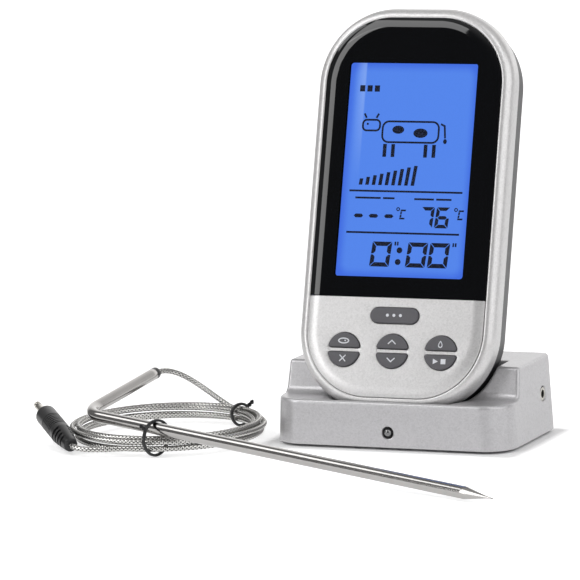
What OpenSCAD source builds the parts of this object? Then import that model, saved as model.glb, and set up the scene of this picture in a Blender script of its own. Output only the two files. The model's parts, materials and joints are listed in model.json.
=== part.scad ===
// Wireless meat thermometer: a leaning display unit in a table-top transmitter base,
// and a steel probe on a coiled, braided lead with a plug for the base's jack.
// Origin: on the table under the middle of the base. +X right, -Y front, +Z up.

/* [Display unit] */
// Width of the display unit
unit_w = 66; // [60:0.5:70]
// Height of its rounded outline
unit_h = 127.2; // [122:0.2:132]
// Radius of the outline's four corners
unit_corner = 24.5; // [20:0.5:26]
// Depth from the keypad's face to the back
unit_depth = 20; // [20:0.5:22]
// Backward lean in the base
lean = 16.5; // [12:0.5:20]
// Width of the silver rim around the lens and the keypad
rim_w = 3.4; // [2.5:0.1:4]
// Height of the lens' straight bottom edge above the base's ledge
lens_bottom = 33; // [32:0.5:35]
// Width of the lit display
lcd_w = 43.3; // [38:0.1:46]
// Height of the lit display
lcd_h = 68; // [60:0.5:70]
// Height of the display's bottom edge above the ledge
lcd_bottom = 39.3; // [38:0.1:42]

/* [Keys] */
// Diameter of each round pair of keys
key_d = 10.8; // [9:0.1:12]
// Gap between the two halves of a pair
key_split = 1.4; // [1:0.1:2]
// Distance from pair to pair
key_pitch = 16.3; // [14:0.1:17]
// Width of the long key
mode_w = 16.2; // [14:0.1:18]
// Height of the long key
mode_h = 5; // [4:0.1:6]
// How far a key stands out of the keypad's face
key_proud = 0.8; // [0.5:0.1:1]

/* [Base] */
// Width of the base at the table
base_w = 80.1; // [78:0.1:84]
// Width of the base at its top
base_top_w = 77.7; // [76:0.1:78]
// Front-to-back depth of the base
base_d = 43; // [42:0.5:48]
// Height of the raised rear block
base_h = 25.1; // [25:0.1:27]
// Height of the front ledge
ledge_h = 15.1; // [15:0.1:16]
// Radius of the front corners
base_corner = 9.5; // [6:0.5:12]
// Wall thickness of the base's shell
base_wall = 1.7; // [1.5:0.1:2]

/* [Probe set] */
// Diameter of the steel tube
tube_d = 3.9; // [3.5:0.1:4]
// Length of the straight shaft with its point
shaft_l = 162; // [120:1:170]
// Length of the bent-back arm
arm_l = 33; // [28:1:40]
// Angle between the shaft and the arm
bend_angle = 101; // [95:1:110]
// Mean radius of the coiled lead
coil_r = 29; // [27:0.5:32]
// Diameter of the braided lead
lead_d = 1.9; // [1.5:0.1:1.9]
// Radius of the plug's pin
pin_r = 1.25; // [1.2:0.01:1.25]

/* [Hidden] */
$fn = 64;
eps = 0.01;

// display unit, in its own frame: x across, y from the keypad's face to the back, z up
unit_face_y = -19.9;            // where the keypad's face meets the ledge's height
unit_low = -2;                  // lowest point of the outline
unit_top = unit_low + unit_h;
rim_y = 0.8;                    // the rim lies this far behind the keypad's face
split_y = 7.5;                  // joint between the front and the rear housing
unit_wall = 1.8;
board_y = 5.3;
board_t = 1.2;
cell_r = 5.15;
cell_l = 43.6;
cell_nub = 0.9;
lens_t = 1.2;
seam_gap = 0.1;
panel_y = 2;                    // inner side of the keypad's wall
key_y = 16;                     // centre height of the split pairs
mode_y = 27.2;
key_gap = 0.1;
mat_y = 3.5;
unit_cell_y = 12.9;
unit_cell_z = [30.6, 41.1];
unit_screw_at = [[15.5, 116.5], [-15.5, 116.5], [27.2, 26], [-27.2, 26]];
antenna_r = 17;
antenna_y = 9;
antenna_z = 92;
door_half_w = 24.5;
door_low = 22.15;
door_high = 49.85;
door_t = 1.6;
pivot_in = 1.1;                 // hinge axis below a door's outer face
pivot_up = 1.45;                // hinge axis above a door's lower edge
pivot_r = 0.7;
pivot_fit = 0.07;

// base
base_low = 0.8;                 // the shell's lower edge
cover_low = 0.5;
cover_t = 1.4;
shoulder_low_y = -9;
shoulder_top_y = -6.5;
dock_gap = 0.5;
dock_wall = 1.3;
front_lean_in = 0.5;            // how far the front face leans in at the top
base_back = base_d / 2;
base_rear_r = 2.5;
base_door_low = 2.45;
base_door_high = 22.9;
base_cell_y = 14.4;
base_cell_z = [7.4, 17.8];
jack_at = [12.5, 13.4];         // y and z of the jack's axis
led_z = 5.6;
led_r = 1.5;
base_screw_at = [[32, -13.5], [-32, -13.5], [35.2, 4], [-35.2, 4]];
pad_half = [27, 13];            // half sizes of the rubber pad under the base
pad_corner = 5;
pad_t = 1.1;
switch_x = -31;
switch_z = 12.5;

// probe set, in a frame turned about the coil's middle
coil_at = [-76.3, -19.8];
set_turn = 23.6;
bundle_r = 1.78;                // radius at which the strands sit in the bundle
bundle_z = 4.1;
strands = 5;
coil_from = 250;
coil_to = 400 + 360 * 4;
strand_from = -40;
tube_r = tube_d / 2;
tube_bore = 1.4;
tube_from = [-20.5, -12.5, 10.4];
bend_r = 9;
bend_step = 0.02;               // the bent stretch is this much thicker than the straight ones
shaft_turn = -43;
shaft_dip = 2.95;
tube_roll = 8;
point_l = 11;
seal_l = 2.2;                   // how far the black end seal stands out of the arm
seal_in = 3;
lead_r = lead_d / 2;
lead_fit = 0.25;                // room around the lead where it enters a sleeve
plug_from = [-30, -21, 3.2];
plug_turn = 108;
plug_rise = 10;
plug_l = 29;
plug_r = 3.4;
grooves = 7;
groove_from = 13;
groove_pitch = 1.3;
slot_from = 3.4;                // the bend relief's slots, on both sides of a solid spine
slot_pitch = 2.1;
slot_w = 1;
spine_half = 1.3;
pin_l = 11;
pin_root_l = 5.5;               // length of the pin's thinner root inside the plug
pin_root_r = 0.95;
// place round the coil, loop radius, loop height, swing about the upright
ties = [[264, 5.5, 6.25, -37], [37, 3.45, 4.1, 0]];
tie_wire_r = 0.55;

// ---------- shared helpers ----------

module unit_frame()
    translate([0, unit_face_y, ledge_h])
        rotate([-lean, 0, 0])
            children();

// a flat outline, drawn in x and z, made solid from y0 to y1
module slab(y0, y1)
    translate([0, y1, 0])
        rotate([90, 0, 0])
            linear_extrude(y1 - y0)
                children();

// a shape drawn in y and z, made solid across x
module across(x0, x1)
    translate([x0, 0, 0])
        rotate([90, 0, 90])
            linear_extrude(x1 - x0)
                children();

module rod_y(x, z, y0, y1, r)
    translate([x, y0, z])
        rotate([-90, 0, 0])
            cylinder(h = y1 - y0, r = r);

module rod_x(y, z, x0, x1, r)
    translate([x0, y, z])
        rotate([0, 90, 0])
            cylinder(h = x1 - x0, r = r);

module box(from, to)
    translate(from)
        cube(to - from);

// rounded rectangle from plain squares and circles
module round_rect(half_w, z0, z1, r) {
    translate([-half_w + r, z0])
        square([2 * (half_w - r), z1 - z0]);
    translate([-half_w, z0 + r])
        square([2 * half_w, z1 - z0 - 2 * r]);
    for (x = [-half_w + r, half_w - r], z = [z0 + r, z1 - r])
        translate([x, z])
            circle(r);
}

// the display unit's outline, drawn in by inset
module unit_outline(inset)
    round_rect(unit_w / 2 - inset, unit_low + inset, unit_top - inset, unit_corner - inset);

module half_plane(z0, z1)
    translate([-unit_w, z0])
        square([2 * unit_w, z1 - z0]);

module cell_pair(cell_y, heights)
    for (z = heights) {
        rod_x(cell_y, z, -(cell_l + cell_nub) / 2, (cell_l - cell_nub) / 2, cell_r);
        rod_x(cell_y, z, (cell_l - cell_nub) / 2 - eps, (cell_l + cell_nub) / 2, 1.9);
    }

// four flat contacts with a dome towards each cell end
module contact_set(cell_y, heights)
    for (z = heights, side = [-1, 1]) {
        box([side * 23.2 - 0.25, cell_y - 4, z - 4], [side * 23.2 + 0.25, cell_y + 4, z + 4]);
        rod_x(cell_y, z, side * 22.7 - 0.35, side * 22.7 + 0.35, 2.2);
    }

// ---------- display unit ----------

module front_housing()
    color("gainsboro")
        unit_frame()
            difference() {
                union() {
                    slab(rim_y, split_y - seam_gap / 2)
                        unit_outline(0);
                    slab(0, rim_y + eps)
                        intersection() {
                            unit_outline(rim_w);
                            half_plane(0, lens_bottom - 0.6);
                        }
                }
                difference() {
                    slab(panel_y, split_y)
                        unit_outline(unit_wall);
                    for (at = unit_screw_at)
                        rod_y(at[0], at[1], 1, split_y + 1, 2.6);
                }
                for (at = unit_screw_at)
                    rod_y(at[0], at[1], 3, split_y + 1, 1.15);
                slab(-1, lens_t + seam_gap)
                    intersection() {
                        unit_outline(rim_w);
                        half_plane(lens_bottom, unit_top);
                    }
                slab(-1, split_y)
                    round_rect(23.6, 36, 110.6, 2);
                slab(-1, split_y)
                    key_row(key_gap);
            }

// plan of all seven keys, grown by g
module key_row(g) {
    mode_plan(g);
    for (column = [-1:1], half = [-1, 1])
        key_plan(column, half, g);
}

module mode_plan(g)
    translate([0, mode_y]) {
        square([mode_w - mode_h, mode_h + 2 * g], center = true);
        for (side = [-1, 1])
            translate([side * (mode_w - mode_h) / 2, 0])
                circle(mode_h / 2 + g);
    }

module key_plan(column, half, g)
    translate([column * key_pitch, key_y])
        intersection() {
            circle(key_d / 2 + g);
            translate([-key_d, half > 0 ? key_split / 2 - g : -key_d - key_split / 2 + g])
                square([2 * key_d, key_d]);
        }

module split_key(column, half)
    color("dimgray")
        unit_frame() {
            slab(-key_proud, panel_y + 0.1)
                key_plan(column, half, 0);
            slab(panel_y + 0.05, panel_y + 0.6)
                key_plan(column, half, 0.5);
        }

module mode_key()
    color("dimgray")
        unit_frame() {
            slab(-key_proud, panel_y + 0.1)
                mode_plan(0);
            slab(panel_y + 0.05, panel_y + 0.6)
                mode_plan(0.8);
        }

module meat_key() split_key(-1, 1);
module clear_key() split_key(-1, -1);
module minute_key() split_key(0, 1);
module second_key() split_key(0, -1);
module taste_key() split_key(1, 1);
module start_key() split_key(1, -1);

module rear_layer(y, inset)
    slab(y, y + eps)
        unit_outline(inset);

module rear_housing()
    color("dimgray")
        unit_frame()
            difference() {
                union() {
                    difference() {
                        hull($fn = 32) {
                            rear_layer(split_y + seam_gap / 2, 0.4);
                            rear_layer(13, 1.2);
                            rear_layer(unit_depth - 3.4, 2.3);
                            rear_layer(unit_depth - 1, 4.4);
                            rear_layer(unit_depth - eps, 6.4);
                        }
                        hull($fn = 32) {
                            rear_layer(split_y, 2);
                            rear_layer(13, 2.8);
                            rear_layer(unit_depth - 2, 5);
                        }
                    }
                    // battery bay
                    box([-door_half_w - 1.4, 6.8, 20.3],
                        [door_half_w + 1.4, unit_depth - 1, door_high + 1.4]);
                    for (at = unit_screw_at)
                        rod_y(at[0], at[1], split_y + seam_gap, unit_depth - 1, 3);
                }
                box([-door_half_w - 0.15, split_y, door_low - 0.45],
                    [door_half_w + 0.15, unit_depth + 1, door_high + 0.15]);
                for (at = unit_screw_at) {
                    rod_y(at[0], at[1], 6, split_y + seam_gap, 2.7);
                    rod_y(at[0], at[1], 6, unit_depth, 1.3);
                    rod_y(at[0], at[1], 14, unit_depth + 1, 2.4);
                }
                rod_x(unit_depth - pivot_in, door_low + pivot_up,
                      -door_half_w - 1.3, door_half_w + 1.3, pivot_r + pivot_fit);
            }

module unit_door()
    color("dimgray")
        unit_frame() {
            box([-door_half_w, unit_depth - door_t, door_low],
                [door_half_w, unit_depth, door_high]);
            rod_x(unit_depth - pivot_in, door_low + pivot_up,
                  -door_half_w - 1.1, door_half_w + 1.1, pivot_r);
        }

module display_lens()
    color([0.1, 0.1, 0.12])
        unit_frame()
            slab(0, lens_t)
                intersection() {
                    unit_outline(rim_w + seam_gap);
                    half_plane(lens_bottom + seam_gap, unit_top);
                }

module lcd_panel()
    color("cornflowerblue")
        unit_frame()
            slab(lens_t + 0.3, lens_t + 2.1)
                round_rect(lcd_w / 2 + 1.5, lcd_bottom - 2, lcd_bottom + lcd_h + 1.5, 0.5);

module light_guide()
    color("aliceblue")
        unit_frame()
            slab(lens_t + 2.2, board_y - 0.2)
                round_rect(lcd_w / 2 + 1.5, lcd_bottom + 1, lcd_bottom + lcd_h + 1.5, 0.5);

module contact_strip()
    color("lightgray")
        unit_frame()
            slab(lens_t + 2.2, board_y - 0.1)
                translate([-21, lcd_bottom - 1.8])
                    square([42, 2]);

module main_board()
    color("darkgreen")
        unit_frame()
            slab(board_y, board_y + board_t)
                round_rect(24, 8, 111, 9);

module keypad_mat()
    color("gray")
        unit_frame() {
            slab(mat_y, mat_y + 0.8)
                round_rect(23, 8.6, 31.5, 6);
            slab(mat_y + 0.7, board_y - 0.3) {
                translate([0, mode_y])
                    circle(1.8);
                for (column = [-1:1], half = [-1, 1])
                    translate([column * key_pitch, key_y + half * 2.9])
                        circle(1.3);
            }
        }

module buzzer()
    color("black")
        unit_frame()
            difference() {
                rod_y(0, 92, board_y + board_t + 0.05, 11.5, 7);
                rod_y(0, 92, 10.5, 12, 1.5);
            }

module unit_antenna()
    color("gold")
        unit_frame() {
            translate([0, antenna_y, antenna_z])
                rotate([90, 0, 0])
                    rotate_extrude(angle = 180)
                        translate([antenna_r, 0])
                            circle(0.5);
            for (side = [-1, 1])
                rod_y(side * antenna_r, antenna_z, board_y + board_t + 0.05, antenna_y + 1, 0.8);
        }

module unit_cells()
    color("slategray")
        unit_frame()
            cell_pair(unit_cell_y, unit_cell_z);

module unit_contacts()
    color("silver")
        unit_frame()
            contact_set(unit_cell_y, unit_cell_z);

module unit_screws()
    color("silver")
        unit_frame()
            for (at = unit_screw_at) {
                rod_y(at[0], at[1], 3.2, 14.2, 1.1);
                difference() {
                    rod_y(at[0], at[1], 14.05, 15.6, 2.2);
                    box([at[0] - 1.4, 14.9, at[1] - 0.25], [at[0] + 1.4, 16, at[1] + 0.25]);
                    box([at[0] - 0.25, 14.9, at[1] - 1.4], [at[0] + 0.25, 16, at[1] + 1.4]);
                }
            }

// ---------- base ----------

// one thin layer of the base's plan at height z
module base_layer(z, half_w, front, inset)
    for (side = [-1, 1]) {
        translate([side * (half_w - base_corner), front + base_corner, z])
            cylinder(h = eps, r = base_corner - inset);
        translate([side * (half_w - base_rear_r), base_back - base_rear_r, z])
            cylinder(h = eps, r = base_rear_r - inset);
    }

module base_block(inset, z0, z1)
    hull($fn = 32) {
        base_layer(z0, base_w / 2, -base_d / 2, inset);
        base_layer(z1 - eps, base_top_w / 2, -base_d / 2 + front_lean_in, inset);
    }

// the stepped room in front of the raised block, moved back by inset
module step_room(inset)
    across(-base_w, base_w)
        polygon([
            [-base_d, ledge_h - inset],
            [shoulder_low_y + inset, ledge_h - inset],
            [shoulder_top_y + inset, base_h],
            [shoulder_top_y + inset, base_h + 5],
            [-base_d, base_h + 5]
        ]);

// the leaning slot for the display unit, grown by g
module dock(g)
    unit_frame()
        slab(0.4 - (g > dock_gap ? g : 0), unit_depth + g)
            unit_outline(-g);

module base_shell()
    color("silver")
        difference() {
            union() {
                difference() {
                    base_block(0, base_low, base_h);
                    step_room(0);
                    difference() {
                        base_block(base_wall, base_low - 1, base_h - base_wall);
                        step_room(base_wall);
                        dock(dock_gap + dock_wall);
                        for (at = base_screw_at)
                            translate([at[0], at[1], 2])
                                cylinder(h = base_h, r = 2.6);
                        // battery bay
                        box([-door_half_w - 1.4, 8, 2], [door_half_w + 1.4, base_back, base_h]);
                    }
                }
            }
            dock(dock_gap);
            box([-door_half_w - 0.15, 9, 2.2], [door_half_w + 0.15, base_back - 1.7, 23.1]);
            box([-door_half_w - 0.15, base_back - 1.8, base_door_low - 0.45],
                [door_half_w + 0.15, base_back + 1, base_door_high + 0.15]);
            rod_x(base_back - pivot_in, base_door_low + pivot_up,
                  -door_half_w - 1.3, door_half_w + 1.3, pivot_r + pivot_fit);
            for (at = base_screw_at)
                translate([at[0], at[1], 1])
                    cylinder(h = 9, r = 1.15);
            rod_x(jack_at[0], jack_at[1], base_w / 2 - 4, base_w / 2 + 1, 2.3);
            rod_y(0, led_z, -base_d / 2 - 1, -base_d / 2 + 4, led_r + 0.15);
            box([switch_x - 3, base_back - 3, switch_z - 1.6],
                [switch_x + 3, base_back + 1, switch_z + 1.6]);
        }

module cover_plan(inset) {
    half = base_w / 2 - inset;
    front = -base_d / 2 + inset;
    back = base_back - inset;
    corner = base_corner - inset;
    translate([-half + corner, front])
        square([2 * (half - corner), back - front]);
    translate([-half, front + corner])
        square([2 * half, back - front - corner]);
    for (side = [-1, 1])
        translate([side * (half - corner), front + corner])
            circle(corner);
}

module base_cover()
    color("dimgray")
        difference() {
            translate([0, 0, cover_low])
                linear_extrude(cover_t)
                    cover_plan(base_wall + 0.3);
            translate([0, 0, -1])
                linear_extrude(pad_t + 1.05)
                    pad_plan(0.1);
            for (at = base_screw_at) {
                translate([at[0], at[1], 0])
                    cylinder(h = 3, r = 1.4);
                translate([at[0], at[1], 0])
                    cylinder(h = 1.2, r = 2.4);
            }
        }

module pad_plan(g)
    round_rect(pad_half[0] + g, -pad_half[1] - g, pad_half[1] + g, pad_corner + g);

module base_pad()
    color([0.15, 0.15, 0.15])
        linear_extrude(pad_t)
            pad_plan(0);

module base_screws()
    color("silver")
        for (at = base_screw_at)
            difference() {
                union() {
                    translate([at[0], at[1], 0.6])
                        cylinder(h = 0.58, r = 2.2);
                    translate([at[0], at[1], 1])
                        cylinder(h = 7, r = 1.1);
                }
                for (turn = [0, 90])
                    translate([at[0], at[1], 0])
                        rotate(turn)
                            box([-1.4, -0.25, 0], [1.4, 0.25, 0.9]);
            }

module base_board()
    color("darkgreen")
        box([-28, -18.5, 2.2], [28, -1.5, 3.3]);

module status_led()
    color("white") {
        rod_y(0, led_z, -base_d / 2 + 0.6, -base_d / 2 + 5, led_r);
        translate([0, -base_d / 2 + 0.6, led_z])
            sphere(led_r);
        rod_y(0, led_z, -base_d / 2 + 4.8, -base_d / 2 + 5.6, 1.8);
    }

module probe_jack()
    color([0.2, 0.2, 0.2])
        difference() {
            union() {
                box([27, jack_at[0] - 3.1, jack_at[1] - 2.8],
                    [37.2, jack_at[0] + 3.1, jack_at[1] + 2.8]);
                rod_x(jack_at[0], jack_at[1], 37, 39.2, 2.15);
            }
            rod_x(jack_at[0], jack_at[1], 27.8, 40, pin_r + 0.04);
        }

module switch_case()
    color([0.2, 0.2, 0.2])
        box([switch_x - 4.6, 11.5, switch_z - 3], [switch_x + 4.6, 16.6, switch_z + 3]);

module switch_knob()
    color("black")
        box([switch_x - 2.7, 16.7, switch_z - 1.4], [switch_x + 0.1, base_back + 0.8, switch_z + 1.4]);

module base_cells()
    color("slategray")
        cell_pair(base_cell_y, base_cell_z);

module base_contacts()
    color("silver")
        contact_set(base_cell_y, base_cell_z);

module base_door()
    color("silver") {
        box([-door_half_w, base_back - door_t, base_door_low],
            [door_half_w, base_back, base_door_high]);
        rod_x(base_back - pivot_in, base_door_low + pivot_up,
              -door_half_w - 1.1, door_half_w + 1.1, pivot_r);
    }

module base_antenna()
    color("gold")
        translate([-29.5, -10, 0]) {
            translate([0, 0, 4])
                rod_y(0, 4, 4, 14, 0.5);
            translate([0, 0, 4])
                rotate([0, -90, 0])
                    translate([0, 4, 0])
                        rotate_extrude(angle = 90, start = 270)
                            translate([4, 0])
                                circle(0.5);
        }

// ---------- probe set ----------

function turn_x(p, a) = [p[0], p[1] * cos(a) - p[2] * sin(a), p[1] * sin(a) + p[2] * cos(a)];
function turn_y(p, a) = [p[0] * cos(a) + p[2] * sin(a), p[1], -p[0] * sin(a) + p[2] * cos(a)];
function turn_z(p, a) = [p[0] * cos(a) - p[1] * sin(a), p[0] * sin(a) + p[1] * cos(a), p[2]];

// directions and points of the tube's own frame, seen in the set's frame
function tube_dir(p) = turn_z(turn_y(turn_x(p, tube_roll), shaft_dip), shaft_turn);
function plug_dir(p) = turn_z(turn_y(p, -plug_rise), plug_turn);

arm_turn = bend_angle;
arm_dir = [cos(arm_turn), sin(arm_turn), 0];
arm_from = [bend_r * -sin(arm_turn), bend_r * (1 + cos(arm_turn)), 0];

module set_frame()
    translate([coil_at[0], coil_at[1], 0])
        rotate([0, 0, set_turn])
            children();

module tube_frame()
    set_frame()
        translate(tube_from)
            rotate([0, 0, shaft_turn])
                rotate([0, shaft_dip, 0])
                    rotate([tube_roll, 0, 0])
                        children();

module arm_frame()
    tube_frame()
        translate(arm_from)
            rotate([0, 0, arm_turn])
                children();

module plug_frame()
    set_frame()
        translate(plug_from)
            rotate([0, 0, plug_turn])
                rotate([0, -plug_rise, 0])
                    children();

// the bent rod of radius r: shaft to shaft_end, the bend and the whole arm
module bent_rod(r, shaft_end, arm_end) {
    tube_frame() {
        rod_x(0, 0, 0, shaft_end, r);
        translate([0, bend_r, 0])
            rotate_extrude(angle = 180 - bend_angle, start = 90 + bend_angle)
                translate([bend_r, 0])
                    circle(r + bend_step);
    }
    arm_frame()
        rod_x(0, 0, 0, arm_end, r);
}

module probe_tube()
    color("silver")
        difference() {
            union() {
                bent_rod(tube_r, shaft_l - point_l, arm_l);
                tube_frame()
                    translate([shaft_l - point_l, 0, 0])
                        rotate([0, 90, 0])
                            cylinder(h = point_l, r1 = tube_r, r2 = 0.25);
            }
            bent_rod(tube_bore, shaft_l - point_l - 3, arm_l + 1);
        }

module thermistor()
    color("black")
        tube_frame()
            rod_x(0, 0, shaft_l - point_l - 9.5, shaft_l - point_l - 3.5, 1.2);

module sensor_wires()
    color("white")
        tube_frame()
            for (side = [-1, 1])
                rod_x(0, side * 0.6, 2, shaft_l - point_l - 10, 0.35);

module end_seal()
    color([0.12, 0.12, 0.12])
        arm_frame()
            difference() {
                union() {
                    rod_x(0, 0, arm_l - seal_in, arm_l + 0.1, tube_bore - 0.05);
                    rod_x(0, 0, arm_l + 0.03, arm_l + seal_l, tube_r - 0.05);
                }
                rod_x(0, 0, arm_l + 0.25, arm_l + seal_l + 1, lead_r + lead_fit);
            }

// centre line of the lead: from the plug, round the coil, to the arm's end
function bezier(a, b, c, d, t) =
    a * pow(1 - t, 3) + b * 3 * t * pow(1 - t, 2) + c * 3 * t * t * (1 - t) + d * pow(t, 3);
function strand_turn(a) = strand_from - (a - coil_from) / strands;
function coil_point(a) = [
    (coil_r + bundle_r * cos(strand_turn(a))) * cos(a),
    (coil_r + bundle_r * cos(strand_turn(a))) * sin(a),
    bundle_z + bundle_r * sin(strand_turn(a))
];
function coil_dir(a) = [-sin(a), cos(a), 0];

lead_in = plug_from + plug_dir([1.5, 0, 0]);
lead_out = tube_from + tube_dir(arm_from + arm_dir * (arm_l + 0.4));
in_points = [for (i = [0:7])
    bezier(lead_in, lead_in + plug_dir([-9, 0, 0]),
           coil_point(coil_from) - 8 * coil_dir(coil_from), coil_point(coil_from), i / 8)];
coil_points = [for (i = [0:233]) coil_point(coil_from + (coil_to - coil_from) * i / 233)];
out_points = [for (i = [1:13])
    bezier(coil_point(coil_to), coil_point(coil_to) + 13 * coil_dir(coil_to) + [0, 0, 2],
           lead_out + tube_dir(arm_dir * 15), lead_out, i / 13)];
lead_path = concat(in_points, coil_points, out_points);

// a round tube of n sides along a path, with flat ends
module swept_tube(path, r, n) {
    last = len(path) - 1;
    up = [0, 0, 1];
    rings = [for (i = [0:last])
        let (
            step = path[min(i + 1, last)] - path[max(i - 1, 0)],
            side = cross(step, up) / norm(cross(step, up)),
            top = cross(side, step) / norm(step)
        )
        for (k = [0:n - 1]) path[i] + r * (cos(360 * k / n) * side + sin(360 * k / n) * top)];
    sides = [for (i = [0:last - 1], k = [0:n - 1])
        let (a = i * n + k, b = i * n + (k + 1) % n)
        each [[a, a + n, b + n], [a, b + n, b]]];
    caps = [[for (k = [0:n - 1]) k], [for (k = [n - 1:-1:0]) last * n + k]];
    polyhedron(points = rings, faces = concat(sides, caps));
}

module probe_lead()
    color("silver")
        set_frame()
            swept_tube(lead_path, lead_r, 8);

module lead_ties()
    color("black")
        set_frame()
            for (tie = ties)
                rotate([0, 0, tie[0]])
                    translate([coil_r, 0, tie[2]])
                        rotate([90, 0, tie[3]]) {
                            rotate_extrude()
                                translate([tie[1], 0])
                                    circle(tie_wire_r);
                            rotate([0, 0, 35])
                                rod_x(0, 0, tie[1] + 0.1, tie[1] + 4.5, 0.8);
                        }

module plug_body()
    color([0.12, 0.12, 0.12])
        plug_frame()
            rotate([0, 90, 0])
                difference() {
                    rotate_extrude()
                        polygon(concat(
                            [[0, 0], [1.9, 0], [2.4, 0.8], [3.3, 9], [plug_r, 11]],
                            [for (i = [0:grooves - 1]) each [
                                [plug_r, groove_from + groove_pitch * i],
                                [plug_r - 0.3, groove_from + 0.15 + groove_pitch * i],
                                [plug_r - 0.3, groove_from + 0.5 + groove_pitch * i],
                                [plug_r, groove_from + 0.65 + groove_pitch * i]]],
                            [[plug_r, plug_l - 0.5], [plug_r - 0.5, plug_l], [0, plug_l]]));
                    translate([0, 0, -1])
                        cylinder(h = 3.5, r = lead_r + lead_fit);
                    for (i = [0:3], side = [-1, 1])
                        translate([0, side * (2.7 + spine_half), slot_from + slot_pitch * i])
                            cube([10, 5.4, slot_w], center = true);
                    translate([0, 0, plug_l - pin_root_l - 0.5])
                        cylinder(h = pin_root_l + 1, r = pin_root_r + 0.05);
                }

module plug_sleeve()
    color("silver")
        plug_frame() {
            rod_x(0, 0, plug_l - pin_root_l, plug_l + 0.2, pin_root_r);
            rod_x(0, 0, plug_l + 0.05, plug_l + pin_l - 3.6, pin_r);
        }

module plug_ring()
    color("black")
        plug_frame()
            rod_x(0, 0, plug_l + pin_l - 3.58, plug_l + pin_l - 2.92, pin_r);

module plug_tip()
    color("silver")
        plug_frame()
            translate([plug_l + pin_l - 2.9, 0, 0])
                rotate([0, 90, 0])
                    rotate_extrude()
                        polygon([[0, 0], [1.2, 0], [0.85, 0.9], [1.2, 1.8], [0.5, 2.9], [0, 2.9]]);

front_housing();
rear_housing();
display_lens();
lcd_panel();
light_guide();
contact_strip();
main_board();
keypad_mat();
mode_key();
meat_key();
clear_key();
minute_key();
second_key();
taste_key();
start_key();
buzzer();
unit_antenna();
unit_cells();
unit_contacts();
unit_door();
unit_screws();
base_shell();
base_cover();
base_pad();
base_screws();
base_board();
status_led();
probe_jack();
switch_case();
switch_knob();
base_cells();
base_contacts();
base_door();
base_antenna();
probe_tube();
thermistor();
sensor_wires();
end_seal();
probe_lead();
lead_ties();
plug_body();
plug_sleeve();
plug_ring();
plug_tip();
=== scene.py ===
"""Visual model of a wireless meat thermometer: a lit display unit leaning in its transmitter base,
and a steel probe on a coiled, braided lead. Shapes are worked out in millimetres and made in metres."""

import json
import math
from functools import partial

import bpy
import bmesh
import numpy as np
from mathutils import Matrix, Vector, geometry


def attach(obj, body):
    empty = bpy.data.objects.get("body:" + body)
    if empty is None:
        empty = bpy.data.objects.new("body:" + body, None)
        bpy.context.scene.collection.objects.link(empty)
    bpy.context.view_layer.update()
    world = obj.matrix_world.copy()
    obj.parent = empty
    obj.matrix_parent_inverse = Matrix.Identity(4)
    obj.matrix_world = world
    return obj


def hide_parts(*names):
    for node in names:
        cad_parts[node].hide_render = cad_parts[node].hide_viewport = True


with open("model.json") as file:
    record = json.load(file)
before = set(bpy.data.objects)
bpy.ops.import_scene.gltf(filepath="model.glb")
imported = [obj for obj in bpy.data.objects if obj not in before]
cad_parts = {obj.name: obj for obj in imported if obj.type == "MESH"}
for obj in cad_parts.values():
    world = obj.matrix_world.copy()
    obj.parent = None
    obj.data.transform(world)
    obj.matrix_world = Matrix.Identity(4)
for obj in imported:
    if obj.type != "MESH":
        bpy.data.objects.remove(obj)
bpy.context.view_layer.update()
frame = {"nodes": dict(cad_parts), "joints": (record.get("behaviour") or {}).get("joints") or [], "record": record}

MM = 0.001
FULL_TURN = 2 * math.pi

# ---------------------------------------------------------------- driving sizes, in millimetres

# display unit, in its own frame: x across, y from the keypad's face to the back, z up the face
LIFT = next(joint["axis"] for joint in frame["joints"] if joint["name"] == "unit_lift")
LEAN = math.atan2(LIFT[1], LIFT[2])
UNIT_FACE_Y = -19.9
LEDGE_Z = 15.1
UNIT_HALF_W = 33.0
UNIT_LOW = -2.0
UNIT_TOP = 125.2
UNIT_CORNER = 24.5
UNIT_DEPTH = 20.0
RIM_W = 3.4
RIM_Y = 0.8
RIM_SIDE_Y = 4.4
SPLIT_Y = 7.5
FRONT_END_Y = SPLIT_Y - 0.05
REAR_FROM_Y = SPLIT_Y + 0.1
LENS_BOTTOM = 33.0
LENS_T = 1.2
LCD_HALF_W = 21.65
LCD_BOTTOM = 39.3
LCD_H = 68.0
BEVEL_W = 3.8
KEY_R = 5.4
KEY_SPLIT = 0.7
KEY_PITCH = 16.3
KEY_Z = 16.0
KEY_PROUD = 0.8
MODE_HALF_W = 8.1
MODE_R = 2.5
MODE_Z = 27.2
KEY_GAP = 0.12
PANEL_BACK_Y = 2.0
PANEL_TOP = 32.75
MARKS_Y = (1.38, 1.47)
UNIT_SCREWS = [(15.5, 116.5), (-15.5, 116.5), (27.2, 26.0), (-27.2, 26.0)]
UNIT_DOOR_Z = (22.15, 49.85)
UNIT_OPENING_Z = (21.7, 50.0)

# battery doors and bays
DOOR_HALF_W = 24.5
DOOR_T = 1.6
PIVOT_IN = 1.1
PIVOT_UP = 1.45
PIVOT_R = 0.7
BAY_HALF_W = 25.9
SCREW_WELL_R = 2.4
# a place well outside every shell, where a cut may end
PAST = 30.0

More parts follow.
